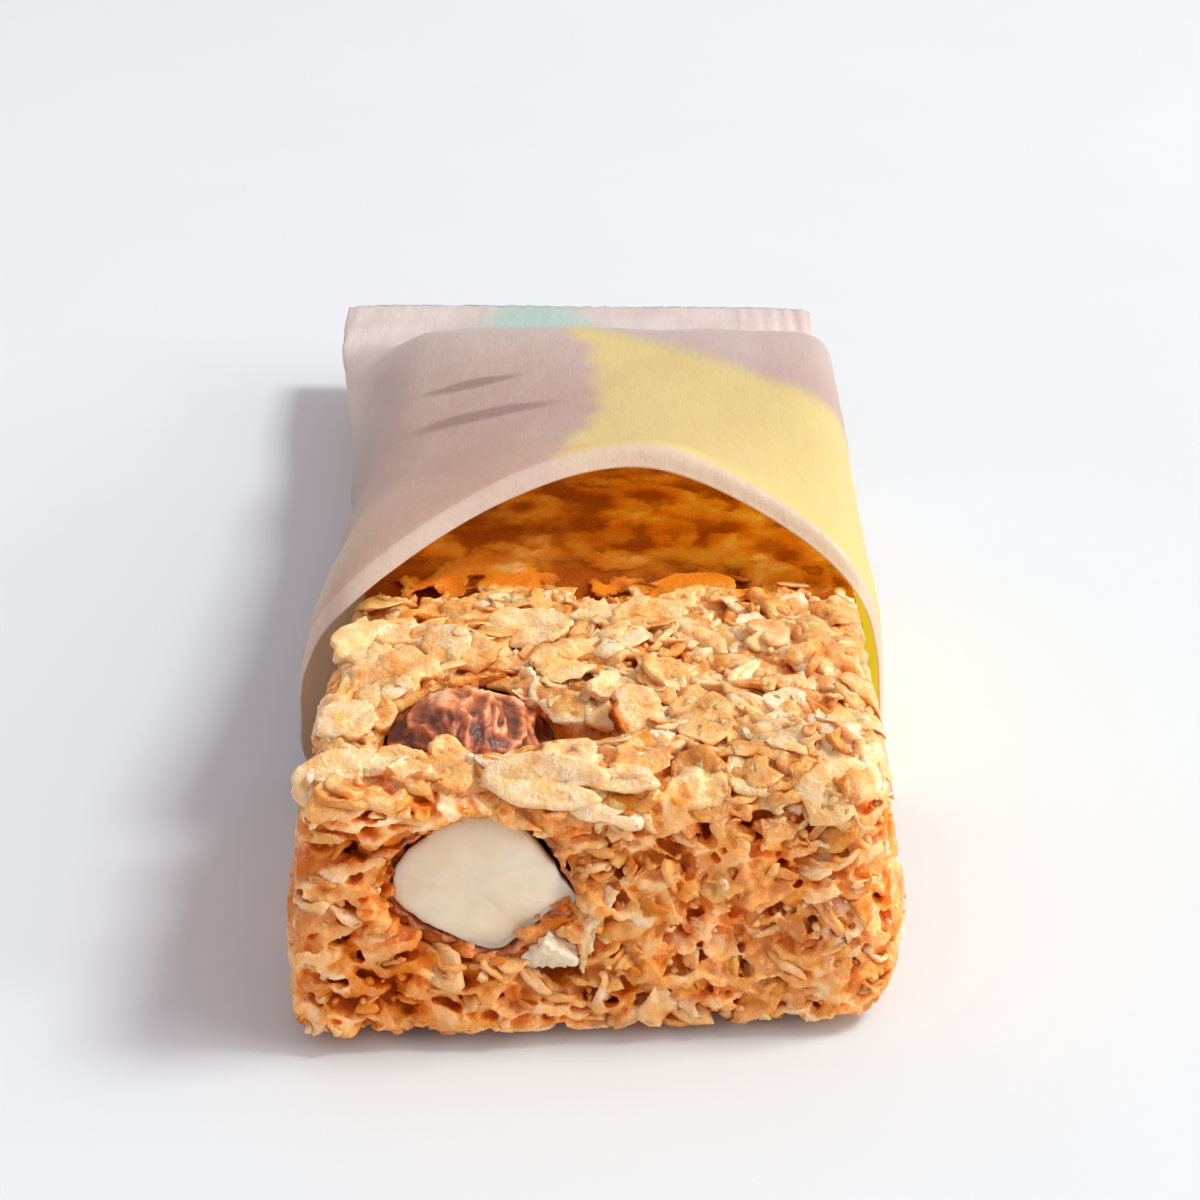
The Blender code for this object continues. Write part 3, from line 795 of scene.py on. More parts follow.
def oat_finish(name, glow_depth=0.0018, grain=0.15, glaze_share=0.7):
    material, tree, shader = new_material(name)
    space = use_group(tree, MILLIMETRES)["Place"]
    mottle = use_group(tree, MOTTLE, {"Place": space, "Size": 1.1})["Tone"]
    slow = remap(tree, noise_texture(tree, space, 0.25, detail=1.0), 0.3, 0.7)
    tone = calculate(tree, "MULTIPLY", 0.7, calculate(
        tree, "MULTIPLY_ADD", calculate(tree, "SUBTRACT", mottle, 0.5), 0.55,
        attribute(tree, "tone")))
    pale = blend_colours(tree, attribute(tree, "soaked"), colour_ramp(tree, tone, DRY_OATS),
                         colour_ramp(tree, tone, MOIST_OATS))
    # painted shade: under the film's arch the bar is painted darker
    split = place(tree, "ShaderNodeSeparateXYZ", {"Vector": space}).outputs
    painted_shade = remap(tree, split["Y"], FRONT + 26.0, FRONT + 30.0, 0.0, 0.95)
    # painted shade, partly syrup: the left of the broken face is painted darker, and its right edge, where
    # the light falls, lighter
    leftward = calculate(tree, "SUBTRACT", remap(tree, split["X"], 8.0, -10.0, 0.0, 0.6),
                         remap(tree, split["X"], 12.5, 17.0, 0.0, 0.6))
    face_shade_and_syrup = calculate(tree, "MULTIPLY", leftward,
                        remap(tree, split["Y"], FRONT + 3.5, FRONT + 2.0))
    face_shade_and_syrup = calculate(tree, "MULTIPLY", face_shade_and_syrup, remap(tree, split["Z"], 15.0, 13.0))
    # painted shade: the hollow beside the almond is painted darker too
    from_hollow = vector_math(tree, "SUBTRACT", space, tuple((HOLLOW + (0.9, 0, 0)).tolist()))
    away = place(tree, "ShaderNodeVectorMath", {"Vector": vector_math(
        tree, "MULTIPLY", from_hollow, (0.27, 0.30, 0.24))}, operation="LENGTH").outputs["Value"]
    hollow_shade = remap(tree, away, 1.0, 0.6, 0.0, 2.4)
    # the painted shades add up, and with depth and wetness they darken the colour to syrup, then to dark
    # syrup
    painted_shade = calculate(tree, "ADD", painted_shade, calculate(tree, "ADD", face_shade_and_syrup, hollow_shade))
    sunk = calculate(tree, "ADD", painted_shade, calculate(
        tree, "MULTIPLY_ADD", calculate(tree, "SUBTRACT", slow, 0.5), 1.1,
        attribute(tree, "depth")))
    soaked = blend_colours(tree, remap(tree, sunk, 0.0, 0.9), pale, SYRUP_AND_SHADE)
    syrup_and_shade_amount = calculate(tree, "MULTIPLY_ADD", attribute(tree, "soaked"), 0.5, sunk)
    colour = blend_colours(tree, remap(tree, syrup_and_shade_amount, 0.95, 2.0), soaked, DARK_SYRUP_AND_SHADE)
    # flecks of bran
    flecks = noise_texture(tree, space, 2.3, detail=2.0, roughness=0.7)
    colour = blend_colours(tree, remap(tree, flecks, 0.66, 0.72, 0.0, 0.55), colour,
                           (0.36, 0.13, 0.03))
    tree.links.new(colour, shader.inputs["Base Color"])
    grained = use_group(tree, GRAIN, {"Place": space, "Depth": grain})
    tree.links.new(grained["Normal"], shader.inputs["Normal"])
    tree.links.new(grained["Normal"], shader.inputs["Coat Normal"])
    glaze = remap(tree, noise_texture(tree, space, 0.6, detail=2.0), 0.62 - 0.3 * glaze_share,
                  0.70 - 0.2 * glaze_share)
    near_surface = remap(tree, sunk, 1.6, 0.6)
    tree.links.new(calculate(tree, "MULTIPLY", glaze, near_surface), shader.inputs["Coat Weight"])
    tree.links.new(remap(tree, grained["Height"], 0.4, 0.9, 0.38, 0.65), shader.inputs["Roughness"])
    shader.subsurface_method = "BURLEY"
    set_shader(shader, Subsurface_Weight=0.55, Subsurface_Scale=glow_depth,
               Subsurface_Radius=(1.0, 0.40, 0.12), Coat_Roughness=0.07, Coat_IOR=1.55,
               Specular_IOR_Level=0.12)
    return material


oat_material = oat_finish("oat_mass")
flake_material = oat_finish("loose_oat", glow_depth=0.0005)     # thin pieces hold less glow

# %% [markdown]
# ## Loose oats, pressed together
# First every kind of oat is spread over the mould. Then the heap and the body of the bar behind
# it are fused: a voxel remesh runs a skin over all of it, which is just what syrup does, so
# neighbours weld and hollows stay open. The skin takes each point's tone from the nearest loose
# flake, is frayed a last time, and is thinned where nothing is lost.

# %% Body of the bar behind the oats
def bed_part(name, start, end, left=None, right=None):
    """The bar's body between two distances behind the face, and perhaps between two sides,
    sunk where oats will lie on it."""
    thing = working_copy("bar", name)
    bm = bmesh.new()
    bm.from_mesh(thing.data)
    along, across = Vector((0, 1, 0)), Vector((1, 0, 0))
    for limit, way, keep_beyond in ((start, along, True), (end, along, False),
                                    (left, across, True), (right, across, False)):
        if limit is None:
            continue
        cut = bmesh.ops.bisect_plane(
            bm, geom=bm.verts[:] + bm.edges[:] + bm.faces[:],
            plane_co=way * limit + along * (FRONT if way is along else 0.0), plane_no=way,
            clear_inner=keep_beyond, clear_outer=not keep_beyond)
        edges = [e for e in cut["geom_cut"] if isinstance(e, bmesh.types.BMEdge)]
        bmesh.ops.holes_fill(bm, edges=edges)
    bm.to_mesh(thing.data)
    bm.free()
    resample = thing.modifiers.new("even", "REMESH")
    resample.mode = "VOXEL"
    resample.voxel_size = 0.45
    keep_result(thing)
    points, facing = rounded(positions(thing.data)), normals(thing.data)
    inward = behind_front(points[:, 1])
    bare = 1 - smooth_step(BARE_LENGTH, BARE_LENGTH + 6, inward)
    under = smooth_step(0.5, 0.9, -facing[:, 2])
    at_nut = smooth_step(0.5, 3.0, distance_to_nuts(points))
    face = smooth_step(0.5, 0.8, -facing[:, 1]) * (inward < 5)
    sink = (0.15 + bare * (1.35 - 0.80 * face)) * (1 - 0.85 * under) * (0.1 + 0.9 * at_nut)
    sink = sink + 5.0 * hollow(points)
    rough = np.array([noise.fractal(Vector(p) / 1.8, 0.9, 2.0, 2) for p in points])
    points = points - facing * (sink * (1 + (0.5 + 0.9 * face) * rough))[:, None]
    points[:, 2] = np.maximum(points[:, 2], 0.05)
    thing.data.vertices.foreach_set("co", points.astype(np.float32).ravel())
    # the oat finish darkens with this depth as painted shade; the hollow beside the almond gets extra depth
    # for darker painted shade
    set_attribute(thing.data, "depth", sink * (1.3 + 0.5 * rough * face) + 4.0 * hollow(points))
    set_attribute(thing.data, "tone", 0.45 + 0.35 * rough)
    set_attribute(thing.data, "soaked", np.full(len(points), 0.8))
    return thing


# %% Fuse
def gather_tree():
    """Everything in a collection, as one mesh."""
    tree, given, out = new_group("gather", [("Geometry", "NodeSocketGeometry", None),
                                            ("Loose", "NodeSocketCollection", None)],
                                 [("Geometry", "NodeSocketGeometry")], "GeometryNodeTree")
    info = place(tree, "GeometryNodeCollectionInfo", {"Collection": given["Loose"]})
    real = place(tree, "GeometryNodeRealizeInstances", {"Geometry": info.outputs[0]})
    tree.links.new(real.outputs[0], out["Geometry"])
    return tree


def outer_skin_tree():
    """Keep the largest closed skin only: bubbles deep inside are never seen."""
    tree, given, out = new_group("outer_skin", [("Geometry", "NodeSocketGeometry", None)],
                                 [("Geometry", "NodeSocketGeometry")], "GeometryNodeTree")
    island = place(tree, "GeometryNodeInputMeshIsland").outputs["Island Index"]
    total = place(tree, "GeometryNodeAccumulateField",
                  {"Value": 1.0, "Group ID": island}, data_type="FLOAT").outputs["Total"]
    most = place(tree, "GeometryNodeAttributeStatistic", {"Geometry": given["Geometry"],
                                                          "Attribute": total}).outputs["Max"]
    small = place(tree, "FunctionNodeCompare", {0: total, 1: calculate(tree, "SUBTRACT", most, 0.5)},
                  data_type="FLOAT", operation="LESS_THAN").outputs[0]
    kept = place(tree, "GeometryNodeDeleteGeometry", {"Geometry": given["Geometry"],
                                                      "Selection": small})
    tree.links.new(kept.outputs[0], out["Geometry"])
    return tree


def skin_tree():
    """Take tone and depth from the loose oats, and fray the skin."""
    tree, given, out = new_group(
        "skin", [("Geometry", "NodeSocketGeometry", None), ("Loose", "NodeSocketCollection", None),
                 ("Fray", FLOAT, 0.12), ("Granules", FLOAT, 0.3),
                 ("Finish", "NodeSocketMaterial", None)],
        [("Geometry", "NodeSocketGeometry")], "GeometryNodeTree")
    info = place(tree, "GeometryNodeCollectionInfo", {"Collection": given["Loose"]})
    loose = place(tree, "GeometryNodeRealizeInstances", {"Geometry": info.outputs[0]}).outputs[0]
    geometry = given["Geometry"]
    for name in ("tone", "depth", "soaked"):
        near = place(tree, "GeometryNodeSampleNearestSurface", data_type="FLOAT")
        tree.links.new(loose, near.inputs["Mesh"])
        tree.links.new(named_value(tree, name), near.inputs["Value"])
        geometry = store(tree, geometry, name, near.outputs["Value"])
    here = place(tree, "GeometryNodeInputPosition").outputs[0]
    frays = noise_texture(tree, here, 1.7, detail=3.0, roughness=0.65, output="Color")
    shift = vector_math(tree, "SCALE", vector_math(tree, "SUBTRACT", frays, (0.5,) * 3),
                        scale=calculate(tree, "MULTIPLY", given["Fray"], 4.0))
    # granules: round grains with creases between them
    cells = place(tree, "ShaderNodeTexVoronoi", {
        "Vector": vector_math(tree, "ADD", here, vector_math(tree, "SCALE", frays, scale=0.6)),
        "Scale": 1.9, "Detail": 1.0, "Roughness": 0.6}).outputs["Distance"]
    rise = calculate(tree, "MULTIPLY", calculate(tree, "SUBTRACT", 0.32, cells), given["Granules"])
    shift = vector_math(tree, "ADD", shift, vector_math(
        tree, "SCALE", place(tree, "GeometryNodeInputNormal").outputs[0], scale=rise))
    frayed = place(tree, "GeometryNodeSetPosition", {"Geometry": geometry, "Offset": shift})
    painted = place(tree, "GeometryNodeSetMaterial", {"Geometry": frayed.outputs[0],
                                                      "Material": given["Finish"]})
    tree.links.new(painted.outputs[0], out["Geometry"])
    return tree


GATHER, OUTER_SKIN, SKIN = gather_tree(), outer_skin_tree(), skin_tree()


def fuse(name, heap, voxel, budget, fray=0.1, granules=0.3):
    """Weld a heap of loose oats into one closed skin of at most so many triangles."""
    loose = bpy.data.collections.new(name + "_heap")
    for thing in heap:
        scene.collection.objects.unlink(thing)
        loose.objects.link(thing)
    mass = new_object(name, bpy.data.meshes.new(name))
    add_nodes_modifier(mass, GATHER, Loose=loose)
    weld = mass.modifiers.new("weld", "REMESH")
    weld.mode = "VOXEL"
    weld.voxel_size = voxel * 1.0
    add_nodes_modifier(mass, OUTER_SKIN)
    add_nodes_modifier(mass, SKIN, Loose=loose, Fray=fray, Granules=granules, Finish=oat_material)
    keep_result(mass)
    triangles = 2 * len(mass.data.polygons)
    thin = mass.modifiers.new("thin", "DECIMATE")
    thin.ratio = min(1.0, budget / triangles)
    keep_result(mass)
    mass.data.name = name
    mass.data.shade_smooth()
    print(f"{name}: {triangles} triangles welded, thinned to {budget}")
    for thing in heap:
        bpy.data.objects.remove(thing)
    return mass


MIDDLE_LINE = -0.4
front_masses = []
for hand, left, right, seed, tumbled in (("left", -30.0, MIDDLE_LINE, 3, 0.45),
                                         ("right", MIDDLE_LINE, 30.0, 43, 0.7)):
    span = {"Left_end": left, "Right_end": right}
    front_masses.append(fuse(f"bar_front_{hand}", [
        scatter("face_shards", shards, oat_material, Where="broken", Spacing=1.5, Density=0.5,
                Seed=seed, Smallest=0.7, Largest=1.25, Lie_flat=0.85, Disorder=tumbled,
                Shallowest=-0.05, Deepest=0.7, Fray=0.3, Soaked=1.0, **span),
        scatter("face_chips", chips, oat_material, Where="broken", Spacing=0.85, Density=1.3,
                Seed=seed + 5, Smallest=0.45, Largest=1.0, Lie_flat=0.85, Disorder=tumbled,
                Shallowest=-0.1, Deepest=0.5, Fray=0.35, Soaked=1.0, **span),
        scatter("face_crumbs", crumbs, oat_material, Where="broken", Spacing=0.75, Density=1.2,
                Seed=seed + 1, Smallest=0.4, Largest=1.0, Shallowest=-0.1, Deepest=0.5,
                Fray=0.15, Soaked=0.9, **span),
        scatter("first_top_flakes", whole_oats, oat_material, Where="first_top", Spacing=2.0,
                Density=0.25, Seed=seed + 2, Smallest=0.6, Largest=0.9, Lie_flat=0.3,
                Disorder=0.4, Shallowest=0.1, Deepest=1.7, Fray=0.3, **span),
        scatter("first_top_shards", shards, oat_material, Where="first_top", Spacing=0.9,
                Density=1.0, Seed=seed + 3, Smallest=0.6, Largest=1.1, Lie_flat=0.3,
                Disorder=0.6, Shallowest=-0.2, Deepest=1.3, Fray=0.3, **span),
        scatter("first_side_shards", shards, oat_material, Where="first_sides", Spacing=1.0,
                Density=1.0, Seed=seed + 4, Smallest=0.7, Largest=1.3, Lie_flat=0.2,
                Disorder=0.4, Shallowest=0.1, Deepest=0.9, Fray=0.2, Soaked=0.5, **span),
        bed_part("first_bed", None, FIRST_LENGTH + 2.5, left=left - 1.5, right=right + 1.5)],
        voxel=0.115, budget=190000, fray=0.06, granules=0.10))

rest_mass = fuse("bar_middle", [
    scatter("rest_top_flakes", whole_oats, oat_material, Where="rest_top", Spacing=2.0,
            Density=0.25, Seed=15, Smallest=0.6, Largest=1.0, Lie_flat=0.3, Disorder=0.38,
            Shallowest=0.0, Deepest=1.8, Fray=0.3),
    scatter("rest_top_shards", shards, oat_material, Where="rest_top", Spacing=1.1,
            Density=0.8, Seed=16, Smallest=0.6, Largest=1.2, Lie_flat=0.3, Disorder=0.6,
            Shallowest=-0.2, Deepest=1.4, Fray=0.3),
    scatter("rest_side_flakes", whole_oats, oat_material, Where="rest_sides", Spacing=2.0,
            Density=0.35, Seed=17, Smallest=0.6, Largest=1.0, Lie_flat=0.1, Disorder=0.35,
            Shallowest=0.2, Deepest=1.4, Fray=0.3),
    bed_part("rest_bed", FIRST_LENGTH - 2.5, BARE_LENGTH + 8.0)], voxel=0.19, budget=190000,
    fray=0.08, granules=0.12)

hidden_mass = fuse("bar_in_film", [
    scatter("shaded_top_flakes", whole_oats, oat_material, Where="shaded_top", Spacing=2.2,
            Density=0.2, Seed=25, Smallest=0.6, Largest=0.95, Lie_flat=0.3, Disorder=0.25,
            Shallowest=0.1, Deepest=0.9, Fray=0.2),
    bed_part("hidden_bed", BARE_LENGTH + 4.0, None)], voxel=0.3, budget=60000, fray=0.08)

for mass in front_masses:
    finish(mass, slot="oat_bar")
finish(rest_mass, "bar", slot="oat_bar")
finish(hidden_mass, slot="oat_bar")

# %% Loose oats on the welded mass
face_chips = [
    scatter("face_chips_left", chips, flake_material, Where="broken", Spacing=1.7, Density=0.4,
            Seed=71, Smallest=0.5, Largest=1.0, Lie_flat=0.9, Disorder=0.4, Shallowest=-0.1,
            Deepest=0.3, Fray=0.32, Soaked=1.0, Right_end=MIDDLE_LINE),
    scatter("face_chips_right", chips, flake_material, Where="broken", Spacing=1.6, Density=0.45,
            Seed=72, Smallest=0.5, Largest=1.2, Lie_flat=0.7, Disorder=0.8, Shallowest=-0.1,
            Deepest=0.3, Fray=0.32, Soaked=1.0, Left_end=MIDDLE_LINE),
    scatter("face_slivers", slivers, flake_material, Where="broken", Spacing=2.4, Density=0.2,
            Seed=73, Smallest=0.4, Largest=0.9, Lie_flat=0.7, Disorder=0.8, Shallowest=-0.1,
            Deepest=0.2, Fray=0.3, Soaked=0.8)]
loose_flakes = scatter("loose_flakes", whole_oats, flake_material, Where="bare_top", Spacing=3.1,
                       Density=0.10, Seed=61, Smallest=0.6, Largest=0.9, Lie_flat=0.4,
                       Disorder=0.42, Shallowest=-0.25, Deepest=0.35, Fray=0.30)
loose_chips = scatter("loose_chips", chips, flake_material, Where="bare_top", Spacing=1.5,
                      Density=0.45, Seed=64, Smallest=0.6, Largest=1.2, Lie_flat=0.4,
                      Disorder=0.6, Shallowest=-0.35, Deepest=0.3, Fray=0.3, Soaked=0.3)
loose_slivers = scatter("loose_slivers", slivers, flake_material, Where="bare_top", Spacing=2.2,
                        Density=0.16, Seed=62, Smallest=0.7, Largest=1.1, Lie_flat=0.5,
                        Disorder=0.5, Shallowest=-0.35, Deepest=0.3, Fray=0.2)
loose_crumbs = scatter("loose_crumbs", crumbs, flake_material, Where="bare_all", Spacing=0.7,
                       Density=0.9, Seed=63, Smallest=0.25, Largest=0.75, Shallowest=-0.2,
                       Deepest=0.6, Fray=0.15, Soaked=0.5)
for thing in (*face_chips, loose_flakes, loose_chips, loose_slivers, loose_crumbs):
    finish(thing)
bpy.data.objects.remove(mould)

# %% [markdown]
# ## Flakes set one by one
# A few big things give this bar its face: a glazed ledge at the left corner, a pale flake beside
# it, one flake standing up behind, crumbs between them, and some round flakes and slivers
# further back. They are the same oats, laid one by one where they belong, half sunk in the mass.

# %% Flakes set one by one
def set_oat(bm, rng, x, back, z, length, width, thickness, yaw=0.0, pitch=0.0, roll=0.0, tone=0.6,
            ragged=0.10, curl=0.15, fray=0.12, around=40):
    """Add one oat to a mesh: back is its distance behind the face, the turns are in degrees."""
    mesh = oat("one", length, width, thickness, rng.randint(0, 9999), around, ragged, curl,
               "fine" if around > 30 else "small")
    shift = Vector((rng.uniform(-50, 50),) * 3)
    for vert in mesh.vertices:
        vert.co += fray * 2.2 * Vector(noise.noise_vector(vert.co / 1.3 + shift))
        vert.co += fray * 0.9 * Vector(noise.noise_vector(vert.co / 0.45 + shift))
    turn = Euler([math.radians(v) for v in (pitch, roll, yaw)], "XYZ").to_matrix().to_4x4()
    mesh.transform(Matrix.Translation((x, FRONT + back, z)) @ turn)
    first = len(bm.verts)
    bm.from_mesh(mesh)
    bm.verts.ensure_lookup_table()
    tones = bm.verts.layers.float.get("tone") or bm.verts.layers.float.new("tone")
    for vert in bm.verts[first:]:
        vert[tones] = tone
    bpy.data.meshes.remove(mesh)


def set_crumb(bm, rng, x, back, z, size, tone=0.6):
    """Add one crumb to a mesh."""
    mesh = lump("one", size, rng.randint(0, 9999), 2, 0.4)
    mesh.transform(Matrix.Translation((x, FRONT + back, z))
                   @ Euler([rng.uniform(0, 6.3) for _ in range(3)]).to_matrix().to_4x4())
    first = len(bm.verts)
    bm.from_mesh(mesh)
    bm.verts.ensure_lookup_table()
    tones = bm.verts.layers.float.get("tone") or bm.verts.layers.float.new("tone")
    for vert in bm.verts[first:]:
        vert[tones] = tone
    bpy.data.meshes.remove(mesh)


rng = random.Random(77)
bm = bmesh.new()
SET_BY_HAND = [
    # x, back, z, length, width, thickness, yaw, pitch, roll, tone
    (-13.9, 1.1, 16.1, 8.6, 4.6, 0.8, 3, 22, -2, 0.75), (-11.6, 0.3, 15.3, 6.6, 3.6, 0.8, -8, 4, 3, 0.5),
    (-15.7, 1.4, 16.3, 3.4, 2.6, 0.7, 20, 16, -6, 0.95), (-11.8, 2.6, 16.6, 4.0, 2.6, 0.7, -20, 18, 5, 0.5),
    (-2.9, 0.1, 17.0, 7.6, 3.6, 0.75, -3, 50, 3, 0.8), (1.7, 0.8, 16.8, 4.4, 1.8, 0.7, 3, 42, 0, 0.85),
    (-9.0, 3.5, 16.7, 2.9, 2.2, 0.6, 15, 48, 14, 0.5), (2.3, 9.4, 16.9, 4.0, 3.6, 0.6, 20, 38, 8, 0.7),
    (10.0, 9.3, 17.0, 4.8, 2.0, 0.8, -38, 12, 10, 0.75), (12.0, 7.2, 17.0, 3.6, 1.6, 0.8, -34, 8, 0, 0.8),
    (9.1, 14.2, 17.1, 4.4, 1.1, 0.7, 64, 12, 0, 0.9), (14.9, 5.8, 16.8, 3.4, 2.6, 1.0, 6, 16, 4, 0.6),
    (-13.6, 14.2, 16.8, 5.6, 4.8, 0.7, 10, 20, -8, 0.5), (-15.6, 18.5, 16.9, 5.8, 4.2, 0.7, 50, 14, -6, 0.7),
    (4.4, 14.5, 17.0, 5.0, 3.8, 0.7, 80, 22, 6, 0.5), (-2.0, 16.4, 16.9, 5.4, 4.0, 0.7, 15, 24, 8, 0.55),
    (7.6, 2.6, 16.2, 3.6, 2.4, 0.7, -15, 26, 6, 0.65), (13.0, 3.4, 16.2, 4.0, 2.6, 0.8, 12, 22, 8, 0.4),
    (-5.0, 21.4, 16.8, 5.8, 4.4, 0.7, -30, 12, 0, 0.7), (11.8, 20.2, 16.8, 5.6, 4.2, 0.7, 35, 16, 5, 0.6),
    (16.2, 13.6, 16.2, 4.4, 2.8, 0.8, 70, 14, 14, 0.4), (3.0, 23.0, 16.8, 5.6, 4.0, 0.7, 5, 14, -4, 0.5),
    (-15.8, 8.2, 16.6, 4.2, 3.4, 0.7, 20, 14, -10, 0.8), (0.5, 12.6, 16.9, 4.6, 2.4, 0.7, 60, 26, 10, 0.8),
    (6.4, 18.6, 16.9, 5.0, 3.0, 0.7, -50, 18, 10, 0.75), (-9.5, 17.8, 16.9, 5.2, 3.6, 0.7, -10, 20, 0, 0.45),
]
for values in SET_BY_HAND:
    smooth_one = values[3] > 7.5 and values[9] > 0.7
    set_oat(bm, rng, *values[:6], *values[6:9], tone=values[9], fray=0.05 if smooth_one else 0.12,
            ragged=0.05 if smooth_one else 0.12)
# chalky crumbs in two places on the ledge
for x, back, z, spread, count in ((-7.0, 1.6, 16.7, 1.3, 18), (-16.2, 1.9, 16.6, 1.3, 12)):
    for _ in range(count):
        set_crumb(bm, rng, x + rng.uniform(-1, 1) * spread, back + rng.uniform(-1, 1) * spread,
                  z + rng.uniform(-0.4, 0.3), rng.uniform(0.4, 0.9), tone=rng.uniform(0.9, 1.5))
set_flakes = object_from_bmesh("set_flakes", bm, flake_material)
count = len(set_flakes.data.vertices)
set_attribute(set_flakes.data, "depth", [-0.2] * count)
set_attribute(set_flakes.data, "soaked", [0.0] * count)
finish(set_flakes)

# %% [markdown]
# ## The almond in the broken face
# The bar broke through an almond, so we look at its cut kernel: dense, waxy and cream, with a
# papery brown skin left round it. The cut has a corner missing at the lower right, where a chip
# broke away and stayed. The outline is a smooth curve through a few points round the middle of
# the cut. Rings inside it make the slightly domed face, and rings behind it the hidden body.

# %% Curves through points
def curve_point(before, start, end, after, t):
    """Between start and end on a centripetal Catmull-Rom curve, which never overshoots."""
    step = max((end - start).length, 1e-6) ** 0.5
    step_in = max((start - before).length, 1e-6) ** 0.5
    step_out = max((after - end).length, 1e-6) ** 0.5
    chord = (end - start) / step
    tangent = (start - before) / step_in - (end - before) / (step_in + step) + chord
    leaving = (after - end) / step_out - (after - start) / (step_out + step) + chord
    near = 2 * t ** 3 - 3 * t ** 2 + 1
    return (start * near + end * (1 - near) + tangent * (t ** 3 - 2 * t ** 2 + t) * step
            + leaving * (t ** 3 - t ** 2) * step)


def closed_curve(points, steps):
    points = [Vector(p) for p in points]
    count = len(points)
    return [curve_point(*[points[(i + k) % count] for k in (-1, 0, 1, 2)], n / steps)
            for i in range(count) for n in range(steps)]


def open_curve(points, steps):
    points = [Vector(p) for p in points]
    padded = [points[0] * 2 - points[1]] + points + [points[-1] * 2 - points[-2]]
    row = [curve_point(*padded[i:i + 4], n / steps)
           for i in range(len(points) - 1) for n in range(steps)]
    return row + [points[-1]]


def bridge(bm, rings):
    """Quads between one closed ring and the next."""
    for first, second in zip(rings, rings[1:]):
        count = len(first)
        for i in range(count):
            j = (i + 1) % count
            bm.faces.new((first[i], first[j], second[j], second[i]))


def fan(bm, ring, centre):
    tip = bm.verts.new(centre)
    for i in range(len(ring)):
        bm.faces.new((ring[i], ring[(i + 1) % len(ring)], tip))
    return tip


# %% Kernel
CUT_OUTLINE = [(-5.15, -0.35), (-4.8, 1.0), (-3.9, 2.2), (-2.6, 3.5), (-0.95, 4.3), (1.3, 4.35),
               (3.2, 2.9), (4.6, 1.5), (5.5, 0.4), (5.5, -0.2), (4.5, -0.45), (3.7, -1.4),
               (2.8, -2.4), (1.55, -3.55), (-0.8, -3.3), (-3.2, -2.5), (-4.8, -1.5)]
NUT_DEPTH = 6.0
NUT_DIP, NUT_ROLL = math.radians(12), math.radians(9)
NUT_CENTRE = Vector((-6.95, FRONT - 0.75, 10.0))
nut_place = (Matrix.Translation(NUT_CENTRE) @ Matrix.Rotation(-NUT_DIP, 4, "X")
             @ Matrix.Rotation(NUT_ROLL, 4, "Y"))


def nut_body(outline, name, material, shares=(0.15, 0.3, 0.45, 0.6, 0.75, 0.88, 0.96),
             back=(0.12, 0.5, 1.2, 2.2, 3.4, 4.6, 5.5), grow=0.0, face_at=0.0):
    bm = bmesh.new()
    rings = []
    for share in shares:
        ring = []
        for p in outline:
            x, z = p.x * share, p.y * share
            chipped = smooth_step(0.2, 3.2, 0.75 * x - z - 1.3)
            waves = 0.13 * noise.fractal(Vector((x / 2.6, 3.1, z / 1.2)), 0.9, 2.0, 4)
            step = 0.10 * float(smooth_step(-0.15, 0.15, noise.noise(Vector((x / 3, 8.1, z / 2)))))
            waves += step
            dome = -0.30 * (1 - share ** 3)
            ring.append(bm.verts.new((x, face_at + dome + 0.55 * float(chipped) + waves, z)))
        rings.append(ring)
    for depth in back:
        round_off = math.sqrt(max(1 - (depth / (NUT_DEPTH + grow)) ** 2, 0.02))
        ring = []
        for index, p in enumerate(outline):
            out = 1 + grow / max(p.length, 1.0)
            edge = 0.10 * noise.noise(Vector((p.x * 1.5, p.y * 1.5, 7.0))) if depth < 0.3 else 0.0
            ring.append(bm.verts.new((p.x * out * round_off, face_at + depth + edge,
                                      p.y * out * round_off)))
        rings.append(ring)
    bridge(bm, rings)
    fan(bm, rings[0], (0, face_at - 0.30, 0))
    fan(bm, rings[-1], (0, NUT_DEPTH + grow, 0))
    bmesh.ops.recalc_face_normals(bm, faces=bm.faces)
    bmesh.ops.transform(bm, matrix=nut_place, verts=bm.verts)
    return object_from_bmesh(name, bm, material)


kernel_material, tree, shader = new_material("almond_kernel")
space = use_group(tree, MILLIMETRES)["Place"]
tone = use_group(tree, MOTTLE, {"Place": space, "Size": 4.0})["Tone"]
tree.links.new(blend_colours(tree, tone, (0.93, 0.73, 0.49), (1.0, 0.84, 0.62)),
               shader.inputs["Base Color"])
tree.links.new(use_group(tree, GRAIN, {"Place": space, "Coarse": 0.5, "Depth": 0.03})["Normal"],
               shader.inputs["Normal"])
set_shader(shader, Roughness=0.5, Subsurface_Weight=0.4, Subsurface_Scale=0.0015,
           Subsurface_Radius=(1.0, 0.7, 0.45), Specular_IOR_Level=0.35)

skin_material, tree, shader = new_material("almond_skin")
space = use_group(tree, MILLIMETRES)["Place"]
tone = use_group(tree, MOTTLE, {"Place": space, "Size": 1.6})["Tone"]
ridge = attribute(tree, "ridge")
